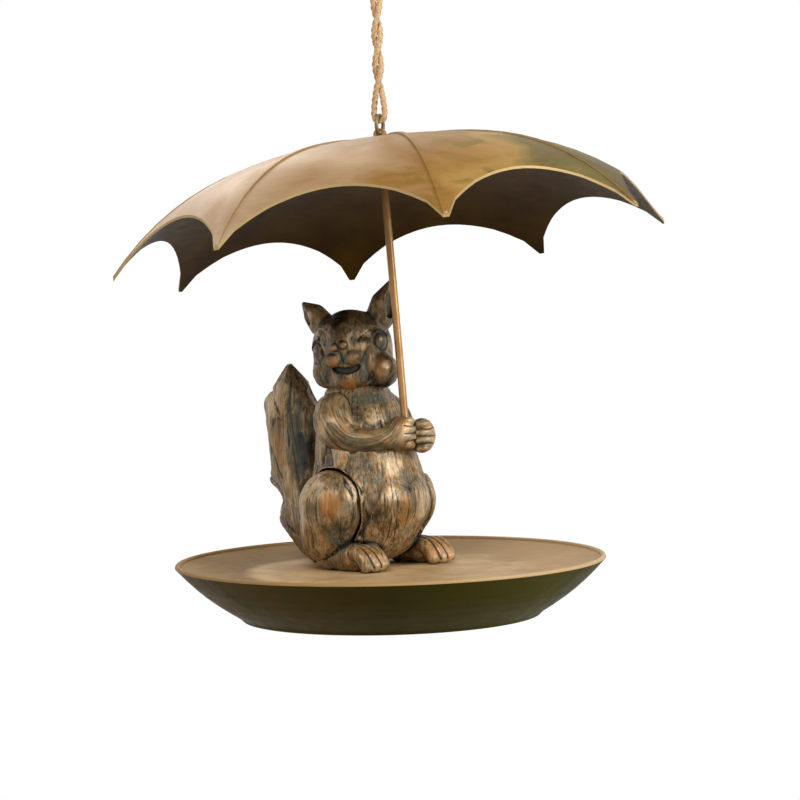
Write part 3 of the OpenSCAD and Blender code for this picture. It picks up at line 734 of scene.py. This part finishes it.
class Skin:
    """A mesh that is carved and painted."""

    def __init__(self, points, quads, clay):
        self.quads, self.clay = quads, clay
        pairs = np.vstack([quads[:, [k, (k + 1) % 4]] for k in range(4)])
        self.pairs = np.unique(np.sort(pairs, axis=1), axis=0)
        self.degree = np.bincount(self.pairs.ravel(), minlength=len(points))[:, None]
        self.flow = points * [1, 1, 0.06]
        self.tone = np.full(len(points), 0.5)
        self.copper, self.teal = np.zeros((2, len(points)))
        self.points = self.softened(points, 0.5, 2)

    def around(self, rows):
        """The mean of each point's neighbours."""
        a, b = self.pairs.T
        columns = [np.bincount(a, v[b], len(v)) + np.bincount(b, v[a], len(v)) for v in rows.T]
        return np.column_stack(columns) / self.degree

    def softened(self, rows, keep, times=1):
        """Rows of which that share is kept, and the rest drawn to the neighbours' mean."""
        for _ in range(times):
            rows = keep * rows + (1 - keep) * self.around(rows)
        return rows

    def normals(self, smooth=0):
        a, b, c, d = (self.points[self.quads[:, k]] for k in range(4))
        face = np.cross(c - a, d - b)
        total = np.column_stack([sum(np.bincount(corner, column, len(self.points))
                                     for corner in self.quads.T) for column in face.T])
        for _ in range(smooth):
            total = self.softened(unit(total, 1e-12), 0.4)
        return unit(total, 1e-12)

    def covered(self, reach):
        """How much of the space that far off the surface is taken, from 0 to 1."""
        return np.clip(1 - self.clay.value(self.points + reach * self.normals(2)) / reach, 0, 1)

    def facet(self, count, stretch, depth, seed, share=1, contrast=0.3):
        """Cuts flat patches side by side, as a knife leaves them. Each patch gets its own tone."""
        normals = self.normals(24)
        free = np.clip(1.15 - 1.8 * self.covered(1.2), 0, 1)
        rng = np.random.default_rng(seed)
        q = self.points * np.array(stretch)
        first, second, far = np.full((3, len(q)), np.inf)
        own, other = np.zeros((2, len(q)), int)
        seeds = []
        at = int(rng.integers(len(q)))
        for i in range(count):
            seeds.append(at)
            d = ((q - q[at]) ** 2).sum(1)
            nearer, next_near = d < first, (d >= first) & (d < second)
            second = np.where(nearer, first, np.where(next_near, d, second))
            other = np.where(nearer, own, np.where(next_near, i, other))
            first, own = np.where(nearer, d, first), np.where(nearer, i, own)
            far = np.minimum(far, d * rng.uniform(0.5, 1.6))
            at = int(far.argmax())
        planes = unit(normals[seeds] + rng.uniform(-0.12, 0.12, (count, 3)))
        places = self.points[seeds] - planes * rng.uniform(0.3, 1, count)[:, None] * depth

        def height(of):
            facing = np.maximum(dots(normals, planes[of]), 0.5)
            away = dots(places[of] - self.points, planes[of]) / facing
            return np.clip(away, -1.4 * depth, 0.25 * depth)

        edge = (second - first) / (2 * lengths(q[seeds][own] - q[seeds][other]) + 1e-6)
        inside = 0.5 + 0.5 * np.clip(edge / 0.3, 0, 1)
        cut = height(own) * inside + height(other) * (1 - inside)
        self.points = self.points + normals * (cut * share * free)[:, None]
        tones = rng.uniform(-0.5, 0.5, count)
        tone = tones[own] * inside + tones[other] * (1 - inside)
        self.tone = self.tone + contrast * tone * share * free

    def grain(self, along, width, length, depth, seed, sharp=3):
        """Cuts fine lines. along gives each point's distances across the grain and along it."""
        u, v = along
        flat = np.full(len(u), 0.5)
        waver = 1.6 * cloud(np.column_stack([u / (4 * width), v / length, flat]), seed + 5)
        p = np.column_stack([u / width + waver, v / length, flat])
        value = 0.65 * cloud(p, seed) + 0.35 * cloud(p * [2.1, 1.7, 1], seed + 1)
        line = (1 - abs(2 * value - 1)) ** sharp
        self.points = self.points - self.normals(4) * (line * depth)[:, None]

    def spot(self, place, radius, ragged, lump, seed):
        """Each point's distance from a place on the surface, in radii, with a ragged edge."""
        away = (self.points - self.clay.on_surface([place])[0]) / radius
        return lengths(away) + ragged * (cloud(self.points / lump, seed) - 0.5)

    def tone_and_painted_light(self, place, radius, amount):
        """Lighter or darker paint round a place on the surface: mostly painted highlights and
        painted shade, and some of it the carving's own tone.
        """
        edge = self.spot(place, radius, 0.4, 1.5, 5)
        self.tone = self.tone + amount * np.clip(1.6 - 1.6 * edge, 0, 1)

    def copper_teal_and_shade(self, place, radius, amount):
        """Copper showing through round a place where the amount is above 0, and teal paint where it
        is below 0; part of that teal is painted shade.
        """
        edge = self.spot(place, radius, 0.5, 1.2, 7)
        spread = np.clip(1.6 * (1.15 - edge), 0, 1)
        self.copper = np.maximum(self.copper, amount * spread)
        self.teal = np.maximum(self.teal, -amount * spread)

    def paint(self, tones_and_painted_lights, copper_teal_and_shades):
        for tone_and_painted_light in tones_and_painted_lights:
            self.tone_and_painted_light(*tone_and_painted_light)
        for copper_teal_and_shade in copper_teal_and_shades:
            self.copper_teal_and_shade(*copper_teal_and_shade)

    def washed(self):
        """How much dark paint has run into the scored grooves, from 0 to 1."""
        tree = KDTree(len(self.clay.grooves))
        for i, (place, _) in enumerate(self.clay.grooves):
            tree.insert(place, i)
        tree.balance()
        nearest, away = np.array([tree.find(p)[1:] for p in self.points.tolist()]).T
        radius = np.array([r for _, r in self.clay.grooves])[nearest.astype(int)]
        return np.clip((1.6 * radius - away) / (0.8 * radius), 0, 1)

    def finish(self, name, material, turn=np.eye(3), shift=BODY_AT):
        """The mesh piece, with the attributes that its material reads."""
        normals = self.normals(2)
        smooth = self.softened(self.points, 0.3, 6)
        fine = dots(self.points - smooth, normals)
        broad = dots(self.points - self.softened(smooth, 0.3, 40), normals)
        near, wide = self.covered(0.7), self.covered(2.2)
        hollow = np.clip(0.4 * near + 0.6 * wide - 6 * fine - 0.3 * broad, 0, 1)
        made = add_mesh(name, self.points @ turn.T + shift, self.quads, material, "feeder")
        values = {"hollow": np.maximum(hollow, 0.95 * self.washed()),
                  "ridge": np.clip(0.15 + 7 * fine + 0.5 * broad - 0.8 * wide, 0, 1),
                  "tone": np.clip(self.tone, 0, 1), "copper": self.copper, "teal": self.teal}
        for key, value in values.items():
            layer = made.data.attributes.new(key, "FLOAT", "POINT")
            layer.data.foreach_set("value", value.astype(np.float32))
        layer = made.data.attributes.new("flow", "FLOAT_VECTOR", "POINT")
        layer.data.foreach_set("vector", self.flow.astype(np.float32).ravel())
        return made


# Squirrel, in its own frame: from the dish floor under its spine it faces -Y, with +X at its left

BODY_HALF = (13.4, 12.8)
STANCE = 19.4
LEFT_STEP = 2
FOOT_LEN = 17.5
THIGH_H = 18.8
THIGH_W = 13.4
NECK_Z = 37
TAIL_H = 43
TAIL_HALF = (4.9, 7.8)
FIST_H = 7
FINGERS = 4
SHAFT_Y = -11.04
RIGHT_PALM = np.array([-1.1, SHAFT_Y, 28.4])
LEFT_PALM = np.array([2.9, SHAFT_Y - 1.2, 27.6])
VOXEL = 0.22
TAIL_VOXEL = 0.24
HEAD_VOXEL = 0.16
GOUGE_R = 0.13
SEAT = 0.01
OUTLINE = 0.18
HAUNCH_LINE = 0.34
HEAD_AT = np.array([0.3, 3.1, NECK_Z + 9.1])
HEAD_TURN = radians(65)
HEAD_TILT = radians(4)


def upright_grain(points, middle=(0, 0), radius=11):
    """Across and along, for grain that runs up a round body."""
    x, y = points[:, 0] - middle[0], points[:, 1] - middle[1]
    return np.arctan2(x, -y) * radius, points[:, 2]


def torso():
    w, d = BODY_HALF
    return chain([
        ((0, 0.4, 7.2), (0.8 * w, 0.82 * d, 6.6)),
        ((0, -0.4, 14), (w, d, 9.6)),
        ((0, 0.1, 0.6 * NECK_Z), (0.84 * w, 0.84 * d, 6.6)),
        ((0, 1, 0.8 * NECK_Z), (0.8 * w, 0.72 * d, 5.4)),
        ((0, 2, 0.98 * NECK_Z), (7.3, 7, 3.4))])


def clear_of_feet(points):
    """1 on the body, and 0 on the feet in front of it."""
    return np.clip(np.maximum((points[:, 2] - 5.5) / 2, (points[:, 1] + 4) / 3), 0, 1)


# Paint round places, each with a radius and an amount: the first tables are lighter above 0 and
# darker below, and the second are copper above 0 and teal below. Most lighter places are painted
# highlights and most darker places painted shade; on the body the teal under the chin and low on
# the thigh is painted shade
# Painted highlights on the thigh, the belly, the chest and the feet; painted shade low on the
# thigh, at the waist under the arm, in the armpit and beside the thigh
BODY_TONE_AND_PAINTED_LIGHT = (
    ((-11.6, -5.9, 16.9), (2, 1.9, 3.2), 0.9), ((-16.5, -3.7, 14.3), (2.6, 2.6, 3.2), -0.22),
    ((-15.6, -1, 18.7), 2.5, 0.2), ((-15.5, -3.5, 7.5), (3, 3, 3.4), -0.3),
    ((-3.8, -11.2, 21.6), 2.6, 0.4), ((-6.3, -11.4, 16), (3, 3, 2.6), 0.35),
    ((3.5, -12, 12.5), (3.4, 3, 6), 0.45), ((-4.8, -7.4, 31.6), (3, 3, 3.6), 0.45),
    ((-10.5, -5.2, 22.6), (5, 5, 3), -0.22), ((-7.5, -4.5, 33.5), (3.5, 3.5, 3), -0.22),
    ((-8.8, -9.2, 11), (1.6, 1.8, 6), -0.25), ((-9.7, -12.5, 2.5), (4.2, 3.5, 3.5), 0.25),
    ((9.7, -14.5, 2.5), (4.2, 3.5, 3.5), 0.4))

# Teal as painted shadow under the chin and as painted shade low on the thigh; copper on the thigh,
# the belly and the feet, and a teal streak down the belly
BODY_COPPER_TEAL_AND_SHADE = (
    ((-4, -5.5, 36.6), (6, 4, 1.8), -0.8), ((5, -4, 36.6), (6, 4, 1.8), -0.8),
    ((-16.5, -3.7, 14.3), (2.3, 2.3, 3.2), 0.9), ((-15.5, -3.5, 7.5), (2.6, 2.6, 3), -0.6),
    ((-1.3, -13, 18.2), (1.7, 2, 5), -0.6), ((-2.4, -12.8, 11.4), (1.5, 2, 4.5), 0.7),
    ((-9.6, -9.5, 3.5), 3, 0.6), ((9.6, -11.5, 3.5), 4.5, 0.8))


def body_gouges(clay):
    """Long shallow knife lines down the chest, the belly and the thighs."""
    rng = np.random.default_rng(17)
    for turn in np.radians(np.arange(-75, 80, 9.5)):
        low, high = rng.uniform(3, 9), rng.uniform(15, 23)
        drift = rng.uniform(-0.12, 0.12)
        clay.score([(12 * sin(turn + drift * t), -12 * cos(turn + drift * t),
                     low + (high - low) * t) for t in (0, 0.35, 0.7, 1)], GOUGE_R)
        clay.score([(r * sin(turn), 0.8 - r * cos(turn), z)
                    for r, z in ((9.6, 30.5 + drift * 8), (8.8, 33.5), (7.4, 36.5))], GOUGE_R)
    for side in (-1, 1):
        for turn in np.radians(np.arange(-100, 60, 20)):
            low, high = rng.uniform(4, 8), rng.uniform(13, 18)
            clay.score([(side * (10 - 6.4 * sin(turn)), 0.5 - 6.4 * cos(turn), z)
                        for z in np.linspace(low, high, 4)], 0.12)


def squirrel_body(material):
    clay = Clay((-18, -17, -1.5), (18, 15, 41), VOXEL)
    clay.add(torso(), 0)
    for side, palm in ((-1, RIGHT_PALM), (1, LEFT_PALM)):
        add_leg(clay, side)
        clay.cut(arm(side, palm, -0.4), 0)
    body_gouges(clay)
    clay.flatten_below(SEAT)
    skin = clay.mesh()
    skin.facet(130, (1, 1, 0.4), 0.32, 3, clear_of_feet(skin.points), 0.4)
    across = upright_grain(skin.points)
    skin.grain(across, 1.3, 13, 0.1 * clear_of_feet(skin.points), 11)
    skin.grain(across, 0.55, 6, 0.05 * clear_of_feet(skin.points), 12, 2)
    skin.points[:, 2] = np.maximum(skin.points[:, 2], SEAT)
    skin.paint(BODY_TONE_AND_PAINTED_LIGHT, BODY_COPPER_TEAL_AND_SHADE)
    return skin.finish("squirrel_body_carved", material)


def add_leg(clay, side):
    """A haunch and a foot, each with a line cut round it."""
    w = THIGH_W / 2
    x, y = side * 10.3 - 0.6, -0.58 - side * LEFT_STEP / 2

    def haunch(grow):
        return chain([
            ((x, y, 0.716 * THIGH_H), (w + grow, 1.1 * w + grow, 0.41 * THIGH_H + grow)),
            ((x - 0.1 * side, y + 2.2, 0.363 * THIGH_H),
             (0.75 * w + grow, 0.82 * w + grow, 0.28 * THIGH_H + grow))])

    clay.cut(haunch(HAUNCH_LINE), 0.3)
    clay.add(haunch(0), 0.25)
    heel_y = 3.1 - side * LEFT_STEP / 2
    toe_y = heel_y + 1.5 - FOOT_LEN
    x = side * STANCE / 2

    def instep(grow):
        return chain([
            ((x, heel_y - 2, 2.4), (3.3 + grow, 3.6, 2.4 + grow)),
            ((x, toe_y + 7.6, 2.9), (3.6 + grow, 3.9 + grow, 3 + grow))])

    clay.cut(instep(OUTLINE), 0.12)
    clay.add(instep(0), 0.05)
    for i in range(4):
        out = i - 1.5
        reach = 0.8 if abs(out) > 1 else 0
        clay.add(limb([(x + out * 1.5, toe_y + 8.4, 3.5), (x + out * 1.7, toe_y + 5.4, 4.15),
                       (x + out * 1.85, toe_y + 2.9 + reach * 0.6, 3.1),
                       (x + out * 1.9, toe_y + 1.35 + reach, 1.45)],
                      [1.45, 1.4, 1.35, 1.25], 0.4), 0.45)
    for gap in (-1, 0, 1):
        clay.score([(x + gap * 1.6, toe_y + 6.6, 5.5), (x + gap * 1.75, toe_y + 4.6, 5.1),
                    (x + gap * 1.9, toe_y + 1.9, 3.1), (x + gap * 1.95, toe_y + 0.7, 1.2)],
                   0.24, 0.2)


def arm(side, palm, grow=0):
    """Shoulder, elbow and wrist as one limb."""
    line = [(side * 7.6, 2.2, 33), (side * 8.9, 0.8, 30.6), (side * 8.9, -1.8, 28.1),
            (side * 7.3, -5.8, 27.2), palm + [side * 3.2, 1.8, -0.9],
            palm + [side * 0.8, 0.6, -0.2]]
    return limb(line, np.array([4.1, 4.6, 3.5, 2.55, 2.3, 2.1]) + grow)


def fist(clay, side, palm):
    """A closed hand round the shaft: a smooth back, and four fingers in front."""
    clay.add(ball(palm + [side * 0.8, 0.1, 0], (3.1, 2.85, 3.7)), 0.6)
    x, y, middle = palm
    gap = FIST_H / 4.2
    for i in range(FINGERS):
        out = i - 1.5
        pull = 0.3 * abs(out) ** 1.6
        z = middle - out * gap
        clay.add(limb([(x + side * (1.4 - pull), y - 1.9 + 0.5 * pull, z + 0.1),
                       (x + side * 0.5, y - 2.15 + 0.6 * pull, z + 0.1),
                       (x - side * 0.7, y - 2.05 + 0.6 * pull, z),
                       (x - side * (2 - pull), y - 1.1, z - 0.1)],
                      [0.55, 0.75, 0.8, 0.75], 0.3), 0.35)
    for i in range(FINGERS - 1):
        z = middle - (i - 1) * gap
        clay.score([(x + side * 2, y - 2, z), (x + side * 0.6, y - 2.9, z),
                    (x - side * 0.8, y - 2.7, z), (x - side * 2.4, y - 1, z)], 0.16)


def arm_piece(name, side, palm, seed, material):
    clay = Clay((-16, -18, 18), (16, 9, 42), VOXEL)
    clay.add(arm(side, palm), 0)
    fist(clay, side, palm)
    skin = clay.mesh()
    hand = np.clip((lengths(skin.points - palm) - 3.6) / 2, 0, 1)
    skin.facet(34, (1, 1, 1), 0.12, seed, hand)
    p = skin.points
    ring = lengths(p - [side * 5.6, -4.2, 33.4])
    skin.grain((ring, p[:, 1] + p[:, 0]), 0.55, 16, 0.1 * hand, seed + 1, 2)
    skin.flow = np.column_stack([ring, 0.1 * (p[:, 0] + p[:, 1]), 0.1 * p[:, 2]])
    skin.tone -= 0.08
    # Painted highlights on the outer upper arm and on the fist, teal as painted shade under the
    # forearm and where the arm meets the chest, and copper worn through on the knuckles
    skin.paint((((side * 13.2, -0.7, 30.4), (3, 4, 3), 0.25),
                (palm + [side * 0.6, -2.5, 0.5], 4.4, 0.34)),
               (((side * 6.8, -9, 25.4), (5, 4, 1.3), -0.7),
                ((side * 6.5, -3.6, 32.4), (2.4, 2.4, 3), -0.5),
                (palm + [side, -1.5, 2], 2.2, 0.3)))
    return skin.finish(name, material)


TAIL_GROOVES = (
    ((-1, 26.2, 38), (-3.4, 23.5, 35.6), (-4.4, 20.5, 31.5)),
    ((-0.6, 28.4, 28.3), (-3.4, 26, 27), (-4.7, 22.8, 22.5), (-4.6, 20.5, 18.5)),
    ((-0.6, 26.9, 18.7), (-3.4, 24.4, 17.4), (-4.5, 21.2, 13)),
    ((-0.6, 24.6, 10.4), (-3.2, 21.8, 9), (-4.2, 18.4, 6)),
    ((-2.9, 18.6, 39), (-4.2, 18.2, 33), (-4.7, 17.2, 25), (-4.5, 15.6, 16)))

TAIL_LOBES = (
    (((0, 24.2, 33.6), (3.4, 4.5, 3.8)), ((0, 23.2, 35), (3, 4, 3.4))),
    (((0, 22.8, 18), (3.4, 4.6, 2.8)), ((0, 21.8, 19.5), (3.4, 4.6, 3))),
    (((0, 20, 10.5), (3.8, 5, 5)), ((0, 15.2, 4.6), (3.6, 4.7, 4)),
     ((0, 12.4, 1.6), (3, 4, 2.4))))

# Painted highlights down the tail's outer side, and painted shade where the tail lies against the
# body
TAIL_PAINTED_LIGHT = (
    ((-3, 24, 37), (3, 4, 6), 0.4), ((-3, 27, 30), (3, 2, 8), 0.3),
    ((-4, 15, 28), (4, 3.5, 14), -0.3))

# Copper down the tail's side, and teal as painted shade where the tail lies against the body
TAIL_COPPER_AND_SHADE = (
    ((-4.5, 21, 26), (2, 1.6, 9), 0.6), ((-4.5, 16, 28), (2, 2.4, 12), -0.35))


def squirrel_tail(material):
    clay = Clay((-8, 4, -1.5), (8, 31, 46), TAIL_VOXEL)
    w, d = TAIL_HALF
    clay.add(chain([
        ((0, 11, 0.11 * TAIL_H), (0.8 * w, 0.5 * d, 4)),
        ((0, 16, 0.27 * TAIL_H), (0.94 * w, 0.78 * d, 5)),
        ((0, 19.4, 0.47 * TAIL_H), (w, 0.9 * d, 5.6)),
        ((0, 20.3, 0.7 * TAIL_H), (w, d, 5.4)),
        ((0, 20.8, 0.86 * TAIL_H), (0.76 * w, 0.6 * d, 3.6)),
        ((0, 21.3, 0.98 * TAIL_H), (0.2 * w, 0.15 * d, 0.8))]), 0)
    for lobe in TAIL_LOBES:
        clay.add(chain(lobe), 1)
    clay.cut(limb([(-3, 29.2, 29), (0, 28.9, 28.6), (3, 29.2, 28)], 0.8), 0.8)
    for groove in TAIL_GROOVES:
        for side in (-1, 1):
            clay.score([(side * -x, y, z) for x, y, z in groove], 0.34, 0.4)
    clay.flatten_below(SEAT)
    skin = clay.mesh()
    skin.facet(50, (1, 1, 0.4), 0.3, 5, contrast=0.4)
    p = skin.points
    middle = np.interp(p[:, 2], [0, 12, 20, 30, 43], [11, 15.5, 19, 20.5, 21.5])
    across = upright_grain(p, (0, middle), 6)
    skin.grain(across, 1.1, 12, 0.15, 21)
    skin.grain(across, 0.5, 6, 0.06, 22, 2)
    skin.points[:, 2] = np.maximum(skin.points[:, 2], SEAT)
    skin.tone -= 0.06
    skin.paint(TAIL_PAINTED_LIGHT, TAIL_COPPER_AND_SHADE)
    return skin.finish("squirrel_tail_carved", material)


def add_eye(clay, place, wide, high):
    """An eyeball nearly flush with the face, with a line cut round it and a heavy upper lid."""
    middle = clay.on_surface([place])[0]
    out = clay.outward(middle[None], 1)[0]
    across = np.cross(out, [0, 0, 1])
    across /= np.linalg.norm(across)
    up = np.cross(across, out)
    axes = np.column_stack([across, up, out])

    def arc(stretch, rise, start, end):
        return [middle + stretch * wide * cos(a) * across + rise * high * sin(a) * up
                for a in np.radians(np.linspace(start, end, 11))]

    lid = clay.on_surface(arc(1.3, 1.32, -5, 185), 0.05)
    clay.add(limb(lid, [0.1, 0.2, 0.3, 0.36, 0.38, 0.38, 0.38, 0.36, 0.3, 0.2, 0.1]), 0.2)
    clay.cut(ball(middle + 0.3 * out, (1.02 * wide, 1.02 * high, 0.8), axes), 0.12)
    clay.add(ball(middle - 0.7 * out, (wide, high, 1.15), axes), 0.04)
    clay.score(arc(1.08, 1.08, -10, 190), 0.36, 0.08)
    clay.score(arc(1.08, 1.08, -180, 0), 0.22, 0.08)
    clay.score(arc(1.75, 1.8, 20, 160), 0.17)
    return middle


# Each side's base and tip, its half width and how far out the hollow lies
EARS = {-1: ((-6.5, 1.2, 5.4), (-10.4, 1, 10.4), 2.5, 0.6),
        1: ((5.7, 1.2, 5.4), (9, 1, 13.2), 2.6, 0)}


def add_ear(clay, side):
    """A pointed ear whose hollow opens to the side."""
    base, tip, wide, out = map(np.array, EARS[side])
    middle = 0.5 * base + 0.5 * tip
    clay.add(chain([
        (base, (wide + 0.6, 2.7, 2.5)),
        (middle - [0.3 * side, 0, 0.1], (wide, 2.3, 2.4)),
        (tip, (0.45, 0.5, 0.5))], 14), 0.5)
    clay.cut(limb([base + [side * (2.6 + out), -0.9 - out, 1.2],
                   middle + [side * (1.7 + out), -0.9 - out, 0.3],
                   tip + [side * 0.7, -0.5, -1.3]], [1, 1.25, 0.4], 0.25), 0.25)


FOREHEAD_LINES = (
    ((2.9, 0.5, 8.2), (2.3, -4, 6.2), (2, -7, 3.4), (1.9, -8.4, 2)),
    ((-4.6, -0.5, 7.4), (-4.2, -4.6, 4.9), (-3, -7.2, 2)),
    ((-7.2, -1, 4.8), (-5.6, -3.4, 5), (-4.2, -4.8, 4.8)),
    ((6.6, -2, 4.6), (4.6, -5.2, 3.2), (3, -7.2, 1.8)))

# A darker forehead; painted highlights on both brows, beside the eyes, on its right ear and on both
# cheeks; painted shade under its left cheek
HEAD_TONE_AND_PAINTED_LIGHT = (
    ((-1.2, -4, 6), (3.4, 7, 5), -0.3), ((-6.3, -4.5, 4.8), (1.5, 2.5, 1.8), 0.5),
    ((-4.8, -6.5, 0.8), (1, 2, 3.6), 0.5), ((5.4, -6.2, 3.3), (1.5, 1.8, 1.1), 0.6),
    ((4, -7.6, 0.4), (1.5, 1.5, 1.6), 0.5), ((8.5, -5.7, -3.9), (1.3, 1.6, 1.2), 0.9),
    ((-9.6, -0.8, 7.2), (0.9, 1.6, 2.8), 0.6), ((-7, -4, -4), (2, 3, 4), 0.15),
    ((6.5, -3.5, -7.5), (4, 4, 2), -0.2))

HEAD_RUBS = (
    ((0.2, -7.6, -7), (2, 2.5, 1.4), 1), ((-2.1, -9, -2.4), (1.3, 1.5, 1.4), 0.9),
    ((2, -9, -2.3), (1.3, 1.5, 1.3), 0.5), ((-1.5, -10.8, 0.6), 0.8, 0.7),
    ((0.65, -10.8, 0.95), 0.8, 0.7), ((-2, -7, 3.5), (0.9, 2, 2), 0.6),
    ((6.8, -6, -4.6), (2.2, 2, 2.2), 0.5), ((0.3, -9.3, -2), (0.8, 1.5, 1.7), -0.9),
    ((4.1, -7, -3.6), (0.8, 1.5, 2.4), -0.8), ((-5, -6, -5.5), 2, -0.5))


def squirrel_head(material):
    clay = Clay((-13, -13, -11.5), (13, 11.5, 16), HEAD_VOXEL)
    clay.add(ball((-0.5, 0.8, 0.5), (8.6, 8.8, 7.7)), 0)
    clay.add(ball((0, -0.6, -4.2), (8.2, 7.6, 5.3)), 2.5)
    clay.add(ball((-5.7, -3.1, -4.6), (2.7, 3.3, 3.3)), 1.3)
    clay.add(ball((7, -3.1, -5.2), (3.1, 3.7, 3.7)), 0.7)
    clay.add(limb([(-0.8, -1.5, 3.8), (-0.6, -5.4, 3), (-0.4, -8.2, 1.3)], [4, 3.3, 2]), 1.6)
    clay.add(ball((-0.1, -5.8, -0.9), (4.5, 3.5, 3.2)), 1.4)
    clay.add(ball((0.2, -4.6, -6), (4.5, 4.1, 3.3)), 1.2)
    clay.add(ball((4.2, -6.2, 0.3), (1.7, 1.6, 1.7)), 0.7)
    eyes = [add_eye(clay, (-6.8, -5.4, -0.3), 2.1, 2.15),
            add_eye(clay, (7.9, -3.5, 1.2), 1.9, 1.75)]
    for side in (-1, 1):
        add_ear(clay, side)
        clay.score([(side * 5, -6.4, 0.2), (side * 4.5, -7, -1.6), (side * 4, -6.8, -3.8),
                    (side * 4.5, -5.8, -6.6)], 0.42, 0.5, 0.1)
    for line in FOREHEAD_LINES:
        clay.score(line, GOUGE_R)
    clay.add(ball((-2.1, -8, -2), (2.2, 1.9, 1.7)), 0.15)
    clay.add(ball((2, -8, -1.8), (2.2, 1.9, 1.7)), 0.15)
    mouth = [(-2.9, -7.3, -3.5), (-1.5, -8.4, -4.2), (0.4, -8.8, -4.5), (2, -8.3, -4.3),
             (3.2, -7.2, -3.5)]
    clay.cut(limb(mouth, [0.25, 0.65, 0.85, 0.65, 0.25], 0.3), 0.12)
    clay.ink([(x, y + 0.9, z) for x, y, z in mouth], 0.75)
    clay.add(limb([(-2.7, -6.9, -4.8), (-1.4, -7.6, -5.5), (0.4, -7.9, -5.8), (2, -7.5, -5.5),
                   (3, -6.7, -4.7)], [0.25, 0.4, 0.45, 0.4, 0.25], 0.3), 0.2)
    clay.score([(-0.3, -9.6, -0.4), (-0.15, -9.4, -1.4), (0, -9, -2.9)], 0.22)
    for x, z in ((-1.5, 0.6), (0.65, 0.95)):
        clay.add(ball((x, -9.9, z), (1, 1, 0.85)), 0.08)
        rim = [(x + 1.12 * cos(a), -9.9, z + 0.95 * sin(a))
               for a in np.radians(range(0, 361, 30))]
        clay.ink(clay.on_surface(rim), 0.2)
    skin = clay.mesh()
    p = skin.points
    soft = np.clip((lengths(p - [-0.3, -9.5, -1]) - 2.2) / 2.5, 0, 1)
    for eye in eyes:
        soft *= np.clip(lengths(p - eye) - 2.2, 0, 1)
    soft *= np.clip((8.6 - p[:, 2] - 0.35 * abs(abs(p[:, 0]) - 3)) / 2, 0, 1)
    skin.facet(70, (1, 1, 0.8), 0.16, 9, soft)
    fan = np.hypot(p[:, 0], p[:, 2] + 16)
    u = np.arctan2(p[:, 0], p[:, 2] + 16) * 15 + 0.4 * p[:, 1]
    skin.grain((u, fan), 0.9, 6, 0.09 * soft, 31)
    skin.grain((u, fan), 0.45, 3, 0.05 * soft, 32, 2)
    skin.flow = np.column_stack([u, p[:, 1], 0.2 * fan])
    skin.tone -= 0.2
    skin.paint(HEAD_TONE_AND_PAINTED_LIGHT, HEAD_RUBS)
    # Each eyeball a little darker with a teal iris, and a painted highlight on it
    for eye in eyes:
        skin.tone_and_painted_light(eye, 1.9, -0.12)
        skin.copper_teal_and_shade(eye, 1.3, -0.5)
        skin.tone_and_painted_light(eye + [-0.2, -0.4, 0.4], 0.5, 1.2)
    turn, tilt = Matrix.Rotation(-HEAD_TURN, 3, "Z"), Matrix.Rotation(-HEAD_TILT, 3, "Y")
    return skin.finish("squirrel_head_carved", material, np.array(turn) @ np.array(tilt),
                       BODY_AT + HEAD_AT)


def add_squirrel(material):
    made = {
        "squirrel_body": squirrel_body(material),
        "squirrel_head": squirrel_head(material),
        "squirrel_tail": squirrel_tail(material),
        "right_arm": arm_piece("right_arm_carved", -1, RIGHT_PALM, 41, material),
        "left_arm": arm_piece("left_arm_carved", 1, LEFT_PALM, 51, material)}
    for node, piece in made.items():
        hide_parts(node)


def dress(node, material):
    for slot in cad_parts[node].material_slots:
        slot.material = material


bpy.context.scene.view_settings.view_transform = "Standard"
add_camera()
add_world()
add_ground()
for lamp in LAMPS:
    add_lamp(*lamp)
add_twine(jute())
add_squirrel(squirrel_bronze())

CANOPY_BRASS = sheet_brass()
TRAY_BRASS = tray_brass()
OLIVE = brass("olive_brass", (0.3, 0.24, 0.1), (0.12, 0.09, 0.03))
COPPER = brass("shaft_copper", (0.42, 0.23, 0.085), (0.3, 0.14, 0.045))
STEEL = brass("screw_steel", (0.5, 0.5, 0.5), (0.4, 0.4, 0.4), metal=1)
for cad_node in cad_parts:
    if cad_node.startswith(("canopy_panel", "canopy_rib")):
        dress(cad_node, CANOPY_BRASS)
dress("tray", TRAY_BRASS)
dress("umbrella_shaft", COPPER)
dress("canopy_collar", COPPER)
dress("crown_washer", OLIVE)
dress("hanging_ring", OLIVE)
dress("tray_screws", STEEL)
